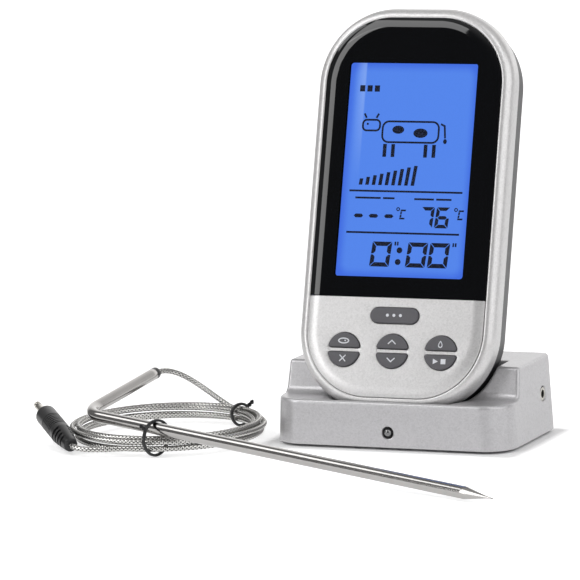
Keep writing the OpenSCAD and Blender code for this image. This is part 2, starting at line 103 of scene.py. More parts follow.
# base
BASE_HALF_W = 40.05
BASE_TOP_HALF_W = 38.85
BASE_HALF_D = 21.5
BASE_LOW = 0.8
BASE_H = 25.1
FRONT_LEAN = 0.5
FRONT_CORNER = 9.5
REAR_CORNER = 2.5
SHOULDER_LOW_Y = -9.0
SHOULDER_TOP_Y = -6.5
WALL = 1.7
DOCK_GAP = 0.5
DOCK_WALL = 1.3
LED_Z = 5.6
JACK = (12.5, 13.4)
BASE_SCREWS = [(32, -13.5), (-32, -13.5), (35.2, 4), (-35.2, 4)]
BASE_DOOR_Z = (2.45, 22.9)
BASE_OPENING_Z = (2.0, 23.1)
SWITCH = (-31.0, 12.5)
SWITCH_SLOT = (3.0, 1.6)
BASE_BAY_HALF_W = 24.7
POST_R = 2.6
SCREW_HOLE_R = 1.15
JACK_HOLE_R = 2.35
LED_HOLE_R = 1.9

# probe set, in a frame turned about the coil's middle
COIL_AT = (-76.3, -19.8)
SET_TURN = math.radians(23.6)
COIL_R = 29.0
BUNDLE_R = 1.78
BUNDLE_Z = 4.1
STRANDS = 5
COIL_FROM = math.radians(250)
COIL_TO = math.radians(400 + 360 * 4)
STRAND_FROM = math.radians(-40)
LEAD_R = 0.95
BRAID_STRANDS = 5
BRAID_PITCH = 6.6
BRAID_R = LEAD_R - 0.14
BRAID_WEAVE = 0.06
BRAID_HALF_W = 0.24
BRAID_HALF_T = 0.08
TUBE_R = 1.95
TUBE_FROM = (-20.5, -12.5, 10.4)
BEND_R = 9.0
BEND_ANGLE = math.radians(101)
SHAFT_L = 162.0
ARM_L = 33.0
POINT_L = 11.0
SHAFT_TURN = math.radians(-43)
SHAFT_DIP = math.radians(2.95)
TUBE_ROLL = math.radians(8)
PLUG_FROM = (-30.0, -21.0, 3.2)
PLUG_TURN = math.radians(108)
PLUG_RISE = math.radians(10)
PLUG_L = 29.0
PLUG_R = 3.4
PLUG_TAIL_R = 2.1
PLUG_TAPER_L = 10.5
GROOVES = 7
GROOVE_FROM = 13.32
GROOVE_DEEP = 0.32
GROOVE_PITCH = 1.3
SLOTS = 4
SLOT_FROM = 3.4
SLOT_PITCH = 2.1
SPINE_HALF = 1.3
PIN_L = 11.0
PIN_R = 1.25
TIE_R = 0.44
TAIL_R = 0.36
TAIL_L = 2.8
TAIL_PITCH = 2.4
# wire ties: place round the coil, loop radius, loop height, swing about the upright
TIES = [(math.radians(264), 5.5, 6.25, math.radians(-37)), (math.radians(37), 3.45, BUNDLE_Z, 0.0)]

# ---------------------------------------------------------------- frames

def rotation(angle, axis):
    return np.array(Matrix.Rotation(angle, 3, axis))


UNIT_TURN = rotation(-LEAN, "X")
UNIT_ORIGIN = np.array([0.0, UNIT_FACE_Y, LEDGE_Z])
SET_ROT = rotation(SET_TURN, "Z")
SET_ORIGIN = np.array([COIL_AT[0], COIL_AT[1], 0.0])
TUBE_ROT = rotation(SHAFT_TURN, "Z") @ rotation(SHAFT_DIP, "Y") @ rotation(TUBE_ROLL, "X")
PLUG_ROT = rotation(PLUG_TURN, "Z") @ rotation(-PLUG_RISE, "Y")


def from_unit(points):
    return np.asarray(points, float) @ UNIT_TURN.T + UNIT_ORIGIN


def to_unit(points):
    return (np.asarray(points, float) - UNIT_ORIGIN) @ UNIT_TURN


def from_set(points):
    return np.asarray(points, float) @ SET_ROT.T + SET_ORIGIN


def from_tube(points):
    return from_set(np.asarray(points, float) @ TUBE_ROT.T + np.array(TUBE_FROM))


def from_plug(points):
    return from_set(np.asarray(points, float) @ PLUG_ROT.T + np.array(PLUG_FROM))


def as_is(points):
    return np.asarray(points, float)


# ---------------------------------------------------------------- mesh helpers

def make_piece(name, points, faces, material, body, replaces=(), smooth=True, normals=None, sharp=None,
               even=False):
    """A mesh object from points in millimetres of the shared frame, riding on a body. normals holds one per
    point; sharp is the angle kept as an edge; even lets large flat faces rule the shading of their edges."""
    mesh = bpy.data.meshes.new(name)
    mesh.from_pydata((np.asarray(points, float) * MM).tolist(), [], [list(f) for f in faces])
    mesh.validate()
    mesh.update()
    piece = bpy.data.objects.new(name, mesh)
    bpy.context.scene.collection.objects.link(piece)
    mesh.materials.append(material)
    for polygon in mesh.polygons:
        polygon.use_smooth = smooth
    if sharp is not None:
        mesh.set_sharp_from_angle(angle=math.radians(sharp))
    if normals is not None:
        mesh.normals_split_custom_set_from_vertices(np.asarray(normals, float).tolist())
    if even:
        weighted = piece.modifiers.new("even_shading", "WEIGHTED_NORMAL")
        weighted.weight = 60
        weighted.keep_sharp = True
    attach(piece, body)
    if replaces:
        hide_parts(*replaces)
    return piece


def face_outward(points, faces, agree=False):
    """A closed mesh's faces, all flipped if it is inside out; agree first makes them match each other."""
    bm = bmesh.new()
    verts = [bm.verts.new(p) for p in points]
    for face in faces:
        bm.faces.new([verts[i] for i in face])
    if agree:
        bmesh.ops.recalc_face_normals(bm, faces=bm.faces)
        bm.verts.index_update()
        faces = [[v.index for v in f.verts] for f in bm.faces]
    if bm.calc_volume(signed=True) < 0:
        faces = [list(reversed(face)) for face in faces]
    bm.free()
    return faces


def loft(rings, closed_loop=False):
    """Points and faces of a skin through rings of equal length; ends are capped unless the rings join up."""
    count = len(rings[0])
    points = np.concatenate(rings)
    faces = []
    for i in range(len(rings) if closed_loop else len(rings) - 1):
        a = i * count
        b = (i + 1) % len(rings) * count
        for k in range(count):
            n = (k + 1) % count
            faces.append([a + k, a + n, b + n, b + k])
    if not closed_loop:
        faces.append(list(range(count - 1, -1, -1)))
        faces.append(list(range(len(points) - count, len(points))))
    return points, face_outward(points, faces)


def lathe(profile, turns=48, hollow=False):
    """A solid turned about the x axis from (x, radius) pairs; hollow joins the profile's ends into a tube."""
    angles = np.linspace(0, FULL_TURN, turns, endpoint=False)
    rings = []
    for x, r in profile:
        rings.append(np.column_stack([np.full(turns, x), r * np.cos(angles), r * np.sin(angles)]))
    return loft(rings, closed_loop=hollow)


def turned_to_y(shape, x, z):
    """A lathed shape with its axis along y, at x and z."""
    points, faces = shape
    points = np.column_stack([points[:, 1] + x, points[:, 0], points[:, 2] + z])
    return points, face_outward(points, faces)


def moved(shape, *offset):
    """A shape moved by x, y and z."""
    return shape[0] + np.array(offset), shape[1]


def path_frames(path):
    """Unit tangent, side and top vectors along a path, turned as little as possible."""
    path = np.asarray(path, float)
    tangent = np.gradient(path, axis=0)
    tangent /= np.linalg.norm(tangent, axis=1, keepdims=True)
    side = np.zeros_like(path)
    current = np.cross(tangent[0], [0, 0, 1.0])
    if np.linalg.norm(current) < 1e-6:
        current = np.array([1.0, 0, 0])
    for i, t in enumerate(tangent):
        current = current - t * (current @ t)
        current /= np.linalg.norm(current)
        side[i] = current
    return tangent, side, np.cross(side, tangent)


def sweep(path, radius, sides=12):
    """A round tube along a path; radius is one number or one per point."""
    path = np.asarray(path, float)
    radius = np.broadcast_to(np.asarray(radius, float), (len(path),))
    _, side, top = path_frames(path)
    angles = np.linspace(0, FULL_TURN, sides, endpoint=False)
    rings = []
    for i in range(len(path)):
        spoke = np.outer(np.cos(angles), side[i]) + np.outer(np.sin(angles), top[i])
        rings.append(path[i] + radius[i] * spoke)
    return loft(rings)


def joined(parts):
    """One point list and one face list from several."""
    points = []
    faces = []
    offset = 0
    for part_points, part_faces in parts:
        points.append(np.asarray(part_points, float))
        faces += [[i + offset for i in face] for face in part_faces]
        offset += len(part_points)
    return np.concatenate(points), faces


def soften(piece, width, segments):
    """Rounds a piece's sharper edges with a bevel; the mesh under it stays as it is."""
    bevel = piece.modifiers.new("soft_edges", "BEVEL")
    bevel.width = width * MM
    bevel.segments = segments
    bevel.limit_method = "ANGLE"
    bevel.angle_limit = math.radians(35)
    bevel.harden_normals = True


def bezier(a, b, c, d, t):
    a, b, c, d = (np.asarray(p, float) for p in (a, b, c, d))
    t = np.asarray(t, float)[:, None]
    return a * (1 - t) ** 3 + b * 3 * t * (1 - t) ** 2 + c * 3 * t**2 * (1 - t) + d * t**3


# ---------------------------------------------------------------- distance fields

def both(a, b, r):
    """Intersection of two fields, its edge rounded to radius r."""
    u = np.maximum(a + r, 0)
    v = np.maximum(b + r, 0)
    return np.minimum(np.maximum(a, b), -r) + np.hypot(u, v)


def either(a, b, r):
    """Union of two fields, its inner corner filled to radius r."""
    return -both(-a, -b, r)


def less(a, b, r):
    """a with b cut out of it."""
    return both(a, -b, r)


def round_rect_field(x, y, half_x, half_y, r):
    qx = np.abs(x) - half_x + r
    qy = np.abs(y) - half_y + r
    return np.minimum(np.maximum(qx, qy), 0) + np.hypot(np.maximum(qx, 0), np.maximum(qy, 0)) - r


def span(value, low, high):
    return np.maximum(low - value, value - high)


def box_field(p, low, high):
    return np.maximum.reduce([span(p[:, k], low[k], high[k]) for k in range(3)])


def rod_field(p, axis, centre, r, low, high):
    """A round bar along one axis; centre holds the other two places, in axis order."""
    others = [k for k in range(3) if k != axis]
    round_part = np.hypot(p[:, others[0]] - centre[0], p[:, others[1]] - centre[1]) - r
    return np.maximum(round_part, span(p[:, axis], low, high))


def unit_outline_field(x, z):
    middle = (UNIT_LOW + UNIT_TOP) / 2
    half = (UNIT_TOP - UNIT_LOW) / 2
    return round_rect_field(x, z - middle, UNIT_HALF_W, half, UNIT_CORNER)


def field_mesh(field, low, high, cell):
    """Surface net of a distance field, its points moved onto the surface. Gives points, faces, normals."""
    axes = [np.arange(lo - 1.5 * cell, hi + 2.5 * cell, cell) for lo, hi in zip(low, high)]
    grid = np.stack(np.meshgrid(*axes, indexing="ij"), axis=-1)
    value = field(grid.reshape(-1, 3)).reshape(grid.shape[:3])
    n = np.array(value.shape)
    total = np.zeros(tuple(n - 1) + (3,))
    count = np.zeros(tuple(n - 1))
    crossings = []
    for axis in range(3):
        a = np.take(value, range(n[axis] - 1), axis=axis)
        b = np.take(value, range(1, n[axis]), axis=axis)
        cross = (a < 0) != (b < 0)
        crossings.append((cross, a < 0))
        t = np.where(cross, a / np.where(cross, a - b, 1), 0)
        others = [k for k in range(3) if k != axis]
        for d0 in (0, 1):
            for d1 in (0, 1):
                window = [slice(None)] * 3
                window[others[0]] = slice(d0, d0 + n[others[0]] - 1)
                window[others[1]] = slice(d1, d1 + n[others[1]] - 1)
                hit = cross[tuple(window)]
                count += hit
                total[..., axis] += hit * t[tuple(window)]
                total[..., others[0]] += hit * d0
                total[..., others[1]] += hit * d1
    active = count > 0
    index = np.full(active.shape, -1)
    index[active] = np.arange(active.sum())
    where = np.argwhere(active)
    origin = np.array([a[0] for a in axes])
    points = origin + cell * (where + total[active] / count[active][:, None])
    faces = []
    for axis in range(3):
        cross, inside = crossings[axis]
        others = [(axis + 1) % 3, (axis + 2) % 3]
        at = np.argwhere(cross)
        keep = np.all([(at[:, k] > 0) & (at[:, k] < n[k] - 1) for k in others], axis=0)
        at = at[keep]
        corners = []
        for d0, d1 in ((1, 1), (0, 1), (0, 0), (1, 0)):
            cell_at = at.copy()
            cell_at[:, others[0]] -= d0
            cell_at[:, others[1]] -= d1
            corners.append(index[tuple(cell_at.T)])
        quads = np.stack(corners, axis=1)
        flip = ~inside[tuple(at.T)]
        quads[flip] = quads[flip][:, ::-1]
        faces.append(quads)
    faces = np.concatenate(faces)
    step = 0.01
    offsets = np.eye(3) * step

    def gradient(p):
        return np.stack([(field(p + o) - field(p - o)) / (2 * step) for o in offsets], axis=1)

    for _ in range(4):
        g = gradient(points)
        move = -field(points)[:, None] * g / np.maximum((g * g).sum(1, keepdims=True), 1e-6)
        size = np.linalg.norm(move, axis=1, keepdims=True)
        points = points + move * np.minimum(1, 0.4 * cell / np.maximum(size, 1e-9))
    normals = gradient(points)
    normals /= np.maximum(np.linalg.norm(normals, axis=1, keepdims=True), 1e-9)
    return points, faces.tolist(), normals


# ---------------------------------------------------------------- materials

def shade(red, green, blue):
    """A display colour (0 to 255) as linear light."""
    parts = []
    for value in (red, green, blue):
        v = value / 255
        parts.append(v / 12.92 if v <= 0.04045 else ((v + 0.055) / 1.055) ** 2.4)
    return (*parts, 1.0)


class Graph:
    """Short ways to add nodes to one material or world. Sizes are in millimetres."""

    def __init__(self, owner, place="Object"):
        owner.use_nodes = True
        self.owner = owner
        self.nodes = owner.node_tree.nodes
        self.links = owner.node_tree.links
        self.shader = self.nodes.get("Principled BSDF")
        self.place = self.node("ShaderNodeTexCoord").outputs[place]

    def node(self, kind, **values):
        made = self.nodes.new(kind)
        for key, value in values.items():
            setattr(made, key, value)
        return made

    def put(self, socket, value):
        if hasattr(value, "is_linked"):
            self.links.new(value, socket)
        else:
            socket.default_value = value

    def set(self, **values):
        for key, value in values.items():
            self.put(self.shader.inputs[key.replace("_", " ")], value)

    def noise(self, size_mm, detail=3.0, roughness=0.55):
        """Noise whose features are about size_mm across."""
        noise = self.node("ShaderNodeTexNoise")
        self.put(noise.inputs["Vector"], self.place)
        self.put(noise.inputs["Scale"], 1 / (size_mm * MM))
        self.put(noise.inputs["Detail"], detail)
        self.put(noise.inputs["Roughness"], roughness)
        return noise.outputs["Fac"]

    def speckle(self, size_mm):
        """A random value for each small cell, for metal flakes."""
        cells = self.node("ShaderNodeTexVoronoi")
        self.put(cells.inputs["Scale"], 1 / (size_mm * MM))
        self.put(cells.inputs["Vector"], self.place)
        split = self.node("ShaderNodeSeparateColor")
        self.put(split.inputs["Color"], cells.outputs["Color"])
        return split.outputs["Red"]

    def span(self, value, low, high, from_low=0.0, from_high=1.0, smooth=False):
        """The value carried from one range to another, held at the ends."""
        change = self.node("ShaderNodeMapRange")
        if smooth:
            change.interpolation_type = "SMOOTHSTEP"
        ranges = {"Value": value, "From Min": from_low, "From Max": from_high, "To Min": low, "To Max": high}
        for key, number in ranges.items():
            self.put(change.inputs[key], number)
        return change.outputs["Result"]

    def blend(self, factor, a, b):
        mix = self.node("ShaderNodeMix", data_type="RGBA")
        self.put(mix.inputs[0], factor)
        self.put(mix.inputs[6], a)
        self.put(mix.inputs[7], b)
        return mix.outputs[2]

    def math(self, operation, a, b=0.0):
        made = self.node("ShaderNodeMath", operation=operation)
        self.put(made.inputs[0], a)
        self.put(made.inputs[1], b)
        return made.outputs[0]

    def vector(self, operation, a, b=(0, 0, 0)):
        made = self.node("ShaderNodeVectorMath", operation=operation)
        self.put(made.inputs[0], a)
        self.put(made.inputs[1], b)
        return made.outputs["Value" if operation == "LENGTH" else "Vector"]

    def axis(self, vector, name):
        """One of a vector's three numbers."""
        split = self.node("ShaderNodeSeparateXYZ")
        self.put(split.inputs["Vector"], vector)
        return split.outputs[name]

    def mix_shader(self, factor, a, b):
        mix = self.node("ShaderNodeMixShader")
        for socket, value in zip(mix.inputs, (factor, a, b)):
            self.put(socket, value)
        return mix.outputs["Shader"]

    def bump(self, height, depth_mm):
        made = self.node("ShaderNodeBump")
        self.put(made.inputs["Strength"], 1.0)
        self.put(made.inputs["Distance"], depth_mm * MM)
        self.put(made.inputs["Height"], height)
        return made.outputs["Normal"]

    def in_unit(self):
        """Place in the display unit's own frame, in millimetres."""
        mapping = self.node("ShaderNodeMapping")
        self.put(mapping.inputs["Scale"], (1 / MM, 1 / MM, 1 / MM))
        self.put(mapping.inputs["Rotation"], (LEAN, 0, 0))
        self.put(mapping.inputs["Location"], (-UNIT_ORIGIN @ UNIT_TURN).tolist())
        self.put(mapping.inputs["Vector"], self.place)
        return mapping.outputs["Vector"]

    def past_window(self, margin, corner):
        """How far a place is outside a rounded frame drawn margin inside the display's window."""
        half = (LCD_HALF_W - margin - corner, 0.0, LCD_H / 2 - margin - corner)
        centred = self.vector("SUBTRACT", self.in_unit(), (0.0, 0.0, LCD_BOTTOM + LCD_H / 2))
        flat = self.vector("MULTIPLY", centred, (1.0, 0.0, 1.0))
        over = self.vector("MAXIMUM", self.vector("SUBTRACT", self.vector("ABSOLUTE", flat), half))
        return self.math("SUBTRACT", self.vector("LENGTH", over), corner)


def new_graph(name):
    """The graph of a new material."""
    return Graph(bpy.data.materials.new(name))


def coated(name, dark, light, rough, patch_mm=12.0, grain_mm=0.25, grain_depth=0.01, **extra):
    """Plastic, rubber or ink: two close tones, a fine grain and a drifting roughness."""
    g = new_graph(name)
    g.set(Base_Color=g.blend(g.noise(patch_mm, 4.0), shade(*dark), shade(*light)))
    g.set(Metallic=0.0, Roughness=g.span(g.noise(patch_mm / 3), *rough))
    g.set(Normal=g.bump(g.noise(grain_mm, 2.0), grain_depth), **extra)
    return g.owner


def flake_paint(name, dark, light, rough, metal):
    """Silver paint: fine flakes of slightly different brightness under a thin satin coat."""
    g = new_graph(name)
    fleck = g.blend(g.speckle(0.4), shade(*dark), shade(*light))
    drift = g.span(g.noise(1.1, 3.0), 0.0, 0.6, 0.3, 0.7)
    g.set(Base_Color=g.blend(drift, fleck, shade(*light)))
    g.set(Metallic=metal, Roughness=g.span(g.noise(5.0, 3.0), *rough))
    g.set(Normal=g.bump(g.noise(0.6, 2.0), 0.003), Coat_Weight=0.12, Coat_Roughness=0.3)
    return g.owner


def bare_metal(name, dark, light, rough):
    """Bare metal: two close tones and a fine grain."""
    g = new_graph(name)
    grain = g.noise(0.12, 4.0, 0.6)
    g.set(Base_Color=g.blend(g.noise(6.0, 3.0), shade(*dark), shade(*light)))
    g.set(Metallic=1.0, Roughness=g.span(grain, *rough), Normal=g.bump(grain, 0.004))
    return g.owner


def lens_finish():
    """Glossy black plastic, clear over the display's window."""
    g = new_graph("lens_black")
    g.set(Base_Color=g.blend(g.noise(20.0), shade(3, 4, 6), shade(6, 7, 10)))
    g.set(Roughness=g.span(g.noise(9.0), 0.03, 0.06), Specular_IOR_Level=0.62)
    clear = g.node("ShaderNodeBsdfTransparent")
    gloss = g.node("ShaderNodeBsdfGlossy")
    g.put(gloss.inputs["Roughness"], 0.04)
    pane = g.mix_shader(0.02, clear.outputs["BSDF"], gloss.outputs["BSDF"])
    in_window = g.math("LESS_THAN", g.past_window(0.0, 1.0), 0.0)
    whole = g.mix_shader(in_window, g.shader.outputs["BSDF"], pane)
    g.put(g.nodes["Material Output"].inputs["Surface"], whole)
    return g.owner


def display_light():
    """The lit display: blue, a little deeper towards its edges, with a painted reflection down its left side: a
    pale strip, brighter towards the top.
    """
    g = new_graph("lcd_glass")
    edge = g.span(g.past_window(2.4, 2.0), 0.0, 1.0, -0.8, 2.7, smooth=True)
    blue = g.blend(edge, shade(86, 136, 239), shade(68, 112, 229))
    x = g.axis(g.in_unit(), "X")
    z = g.axis(g.in_unit(), "Z")
    # painted reflection: a pale strip mixed into the display's own glow down its left side, stronger towards the
    # top
    reflection_right = -LCD_HALF_W + 5.2
    inner = g.span(x, 1.0, 0.0, reflection_right - 0.25, reflection_right + 0.25)
    outer = g.span(x, 0.0, 1.0, -LCD_HALF_W + 1.0, reflection_right, smooth=True)
    rise = g.span(z, 0.0, 0.55, LCD_BOTTOM + 26, LCD_BOTTOM + LCD_H - 4, smooth=True)
    painted_reflection = g.math("MULTIPLY", g.math("MULTIPLY", inner, outer), rise)
    grain = g.span(g.noise(0.5, 2.0), 0.97, 1.03)
    g.set(Base_Color=shade(4, 5, 10), Roughness=0.6, Specular_IOR_Level=0.0, Emission_Strength=grain)
    g.set(Emission_Color=g.blend(painted_reflection, blue, shade(150, 185, 250)))
    return g.owner


def split_finish(name, limit_mm, ends, middle):
    """Metal ends on a plastic middle: two finishes on one moulding, changing over at a distance from x 0."""
    g = new_graph(name)
    at_end = g.math("GREATER_THAN", g.math("ABSOLUTE", g.axis(g.place, "X")), limit_mm * MM)
    wear = g.noise(3.0, 3.0)
    tones = [g.blend(wear, shade(*dark), shade(*light)) for dark, light, _ in (middle, ends)]
    g.set(Base_Color=g.blend(at_end, *tones), Metallic=g.span(at_end, middle[2], ends[2]))
    g.set(Roughness=g.span(wear, 0.25, 0.42), Normal=g.bump(g.noise(0.3), 0.006))
    return g.owner


def make_materials():
    """Every finish by its slot name: two tones, a range of roughness, and what else its maker takes."""
    plain = {
        "dark_plastic": ((24, 25, 28), (34, 35, 38), (0.34, 0.46), {"grain_mm": 0.3}),
        "black_plastic": ((11, 11, 13), (19, 19, 21), (0.28, 0.4), {"grain_mm": 0.2}),
        "ink": ((10, 16, 34), (18, 27, 52), (0.5, 0.6), {"Specular_IOR_Level": 0.1}),
        "diffuser": ((222, 230, 240), (236, 242, 248), (0.3, 0.4), {}),
        "key_rubber": ((72, 71, 75), (86, 85, 89), (0.45, 0.56), {"grain_mm": 0.18, "grain_depth": 0.012}),
        "key_print": ((196, 198, 204), (216, 218, 222), (0.5, 0.6), {}),
        "mat_rubber": ((112, 112, 114), (128, 128, 130), (0.6, 0.75), {}),
        "pad_rubber": ((24, 24, 25), (34, 34, 35), (0.65, 0.8), {"grain_depth": 0.03}),
        "board_green": ((14, 62, 34), (24, 86, 48), (0.3, 0.45), {"patch_mm": 2.5}),
        # painted shade: the lead core's dark tone stands for the shade between the braid's strands
        "lead_core_painted_shade": ((34, 33, 31), (48, 47, 45), (0.4, 0.55), {}),
        # painted shade: the clear dome is dark grey, standing for the shaded hole seen through it; its gloss is
        # its own
        "led_clear": ((22, 23, 26), (32, 33, 37), (0.04, 0.08), {"IOR": 2.3, "Coat_Weight": 0.8}),
        "wire_jacket": ((212, 210, 204), (230, 228, 222), (0.45, 0.55), {}),
    }
    metals = {
        "zinc_steel": ((168, 170, 172), (196, 198, 200), (0.24, 0.38)),
        "stainless": ((164, 162, 160), (180, 178, 176), (0.1, 0.15)),
        "braid": ((198, 197, 194), (224, 223, 220), (0.2, 0.32)),
        "nickel": ((176, 172, 164), (208, 205, 198), (0.16, 0.26)),
        "brass_wire": ((182, 146, 76), (206, 172, 104), (0.25, 0.4)),
    }
    paints = {
        "silver_paint_light": ((194, 193, 193), (211, 210, 210), (0.34, 0.41), 0.6),
        "silver_paint": ((174, 173, 175), (191, 190, 192), (0.3, 0.37), 0.5),
    }
    splits = {
        "jack": (38.75, ((170, 168, 160), (205, 203, 196), 1.0), ((16, 16, 18), (26, 26, 28), 0.0)),
        "cell_jacket": (21.0, ((176, 176, 178), (206, 206, 208), 1.0), ((34, 52, 92), (48, 70, 118), 0.1)),
    }
    finishes = {"lens_black": lens_finish(), "lcd_glass": display_light()}
    finishes.update({name: coated(name, *tones, **extra) for name, (*tones, extra) in plain.items()})
    for maker, specs in ((bare_metal, metals), (flake_paint, paints), (split_finish, splits)):
        finishes.update({name: maker(name, *spec) for name, spec in specs.items()})
    return finishes


FINISH = make_materials()


def add(name, shape, slot, body, replaces=(), place=as_is, **how):
    """A finished piece: shape is (points, faces) or (points, faces, normals) in its own frame."""
    points, faces, *normals = shape
    if normals:
        how["normals"] = place(normals[0]) - place(np.zeros((1, 3)))
    piece = make_piece(name, place(points), faces, FINISH[slot], body, replaces, **how)


# ---------------------------------------------------------------- display unit

ARC_STEPS = 28


def outline_ring(inset, y, steps=ARC_STEPS):
    """The unit's rounded outline drawn in by inset, as a closed ring at depth y."""
    half = UNIT_HALF_W - inset
    low = UNIT_LOW + inset
    top = UNIT_TOP - inset
    return corner_ring(half, low, top, max(UNIT_CORNER - inset, 0.2), y, steps)


def corner_ring(half, low, top, r, y, steps=ARC_STEPS):
    """A closed rounded rectangle in x and z at depth y."""
    centres = [(half - r, top - r), (-half + r, top - r), (-half + r, low + r), (half - r, low + r)]
    points = []
    for quarter, (cx, cz) in enumerate(centres):
        for k in range(steps + 1):
            a = math.radians(90 * quarter + 90 * k / steps)
            points.append((cx + r * math.cos(a), y, cz + r * math.sin(a)))
    return np.array(points)


def at_depth(outline, y):
    """A flat outline in x and z as points at depth y."""
    outline = np.asarray(outline, float)
    return np.column_stack([outline[:, 0], np.full(len(outline), y), outline[:, 1]])


def open_curve(inset, stop_z, lower, steps=ARC_STEPS):
    """The part of the outline below (lower) or above a level line, from right to left, as x and z."""
    half = UNIT_HALF_W - inset
    r = UNIT_CORNER - inset
    sign = -1 if lower else 1
    end_z = UNIT_LOW + inset if lower else UNIT_TOP - inset
    points = [(half, stop_z)]
    for side in (1, -1):
        for k in range(steps + 1):
            a = math.pi / 2 * (k / steps if side > 0 else 1 - k / steps)
            points.append((side * (half - r + r * math.cos(a)), end_z - sign * r + sign * r * math.sin(a)))
    points.append((-half, stop_z))
    return np.array(points)


def inside_polygon(point, polygon):
    x, z = point
    hit = False
    for (ax, az), (bx, bz) in zip(polygon, np.roll(polygon, -1, axis=0)):
        if (az > z) != (bz > z) and x < (bx - ax) * (z - az) / (bz - az) + ax:
            hit = not hit
    return hit


def fill(outer, holes):
    """Triangles over a flat outline with holes; the points keep their order."""
    rings = [np.asarray(outer)] + [np.asarray(h) for h in holes]
    points = np.concatenate(rings)
    edges = []
    start = 0
    for ring in rings:
        edges += [(start + k, start + (k + 1) % len(ring)) for k in range(len(ring))]
        start += len(ring)
    made = geometry.delaunay_2d_cdt([Vector(p) for p in points], edges, [], 1, 1e-7)
    triangles = []
    for face in made[2]:
        corners = [made[3][v][0] for v in face]
        middle = points[corners].mean(axis=0)
        if not any(inside_polygon(middle, hole) for hole in holes):
            triangles.append(corners)
    return points, triangles


def crowned_panel(lower, level_z, back_y, holes, edge_inset, lip=0.25):
    """The keypad panel (lower) or the lens: flat, with a crowned edge all round but along its level edge.
    Each hole is a function that gives its outline grown by an amount; its front edge has a small lip."""
    drops = np.linspace(0, 1, 9)
    curves = [open_curve(edge_inset + t * BEVEL_W, level_z, lower) for t in drops]
    depths = RIM_Y * (1 - drops) ** 2
    count = len(curves[0])
    rows = [at_depth(curves[0], back_y)] + [at_depth(c, d) for c, d in zip(curves, depths)]
    points = list(np.concatenate(rows))
    faces = []
    for i in range(len(rows) - 1):
        for k in range(count - 1):
            a = i * count + k
            faces.append([a, a + 1, a + count + 1, a + count])
    sheets = []
    last_row = (len(rows) - 1) * count
    for curve, growth, y, first in ((curves[-1], lip, 0.0, last_row), (curves[0], 0.0, back_y, 0)):
        flat, triangles = fill(curve, [hole(growth) for hole in holes])
        index = list(range(first, first + count))
        index += range(len(points), len(points) + len(flat) - count)
        points += [(x, y, z) for x, z in flat[count:]]
        faces += [[index[v] for v in triangle] for triangle in triangles]
        sheets.append(index)
    ring_at = count
    for hole in holes:
        size = len(hole(0.0))
        levels = [sheets[0][ring_at:ring_at + size]]
        for growth, depth in ((lip * 0.3, lip * 0.3), (0.0, lip)):
            levels.append(list(range(len(points), len(points) + size)))
            points += list(at_depth(hole(growth), depth))
        levels.append(sheets[1][ring_at:ring_at + size])
        for a, b in zip(levels, levels[1:]):
            faces += [[a[k], a[(k + 1) % size], b[(k + 1) % size], b[k]] for k in range(size)]
        ring_at += size
    starts = [i * count for i in range(len(rows))]
    faces.append(starts + [start + count - 1 for start in reversed(starts)])
    return np.array(points), face_outward(points, faces, agree=True)


def key_edge(half, growth, corner=0.6, steps=10):
    """Outline of half a round key pair: half is 1 for the upper half, -1 for the lower one."""
    inner = KEY_R - corner
    flat = KEY_SPLIT + corner
    start = math.asin(flat / inner)
    reach = corner + growth
    arc = np.linspace(start, math.pi - start, 3 * steps + 1)
    points = [((inner + reach) * math.cos(a), (inner + reach) * math.sin(a)) for a in arc]
    for side in (-1, 1):
        cx = side * inner * math.cos(start)
        for k in range(1, steps):
            turn = k / steps if side < 0 else 1 - k / steps
            a = math.pi - start + turn * (math.pi / 2 + start)
            points.append((cx - side * reach * math.cos(a), flat + reach * math.sin(a)))
    return np.array([(x, half * z) for x, z in points][::half])


def mode_edge(growth, steps=12):
    """Outline of the long key, a rectangle with round ends."""
    r = MODE_R + growth
    points = []
    for side in (1, -1):
        for k in range(steps + 1):
            a = -math.pi / 2 + math.pi * k / steps + (math.pi if side < 0 else 0)
            points.append((side * (MODE_HALF_W - MODE_R) + r * math.cos(a), r * math.sin(a)))
    return np.array(points)


def key_solid(edge, at):
    """A key with straight sides and a rounded top edge. edge gives its outline grown by an amount."""
    round_r = 0.4
    round_y = round_r - KEY_PROUD
    profile = [(0.0, 2.1), (0.0, round_y)]
    for a in np.linspace(0, math.pi / 2, 6)[1:]:
        profile.append((round_r * (math.cos(a) - 1), round_y - round_r * math.sin(a)))
    return loft([at_depth(edge(growth) + np.array(at), y) for growth, y in profile])


def prism(outline, y0, y1):
    """A thin solid over a flat outline in x and z."""
    return loft([at_depth(outline, y0), at_depth(outline, y1)])


def band(outer, inner, y0, y1):
    """A thin closed ring between two outlines with the same number of points."""
    sides = ((outer, y0), (outer, y1), (inner, y1), (inner, y0))
    return loft([at_depth(outline, y) for outline, y in sides], closed_loop=True)


def bar(x0, z0, x1, z1):
    return [(x0, z0), (x1, z0), (x1, z1), (x0, z1)]


def disc(x, z, r, steps=20):
    turn = np.linspace(0, FULL_TURN, steps, endpoint=False)
    return np.column_stack([x + r * np.cos(turn), z + r * np.sin(turn)])


def stroke(points, width):
    """The outline of a line through points, with mitred joints; width is one number or one per point."""
    points = np.asarray(points, float)
    along = np.diff(points, axis=0)
    along /= np.linalg.norm(along, axis=1, keepdims=True)
    normals = np.column_stack([-along[:, 1], along[:, 0]])
    joints = [normals[0]]
    for a, b in zip(normals, normals[1:]):
        middle = (a + b) / np.linalg.norm(a + b)
        joints.append(middle / max(middle @ a, 0.5))
    joints.append(normals[-1])
    joints = np.array(joints) * np.broadcast_to(width, len(points))[:, None] / 2
    return np.concatenate([points + joints, (points - joints)[::-1]])


def leaned(outline, slant, z0):
    return [(x + slant * (z - z0), z) for x, z in outline]


SEGMENTS = {"0": "abcdef", "6": "acdefg", "7": "abc"}


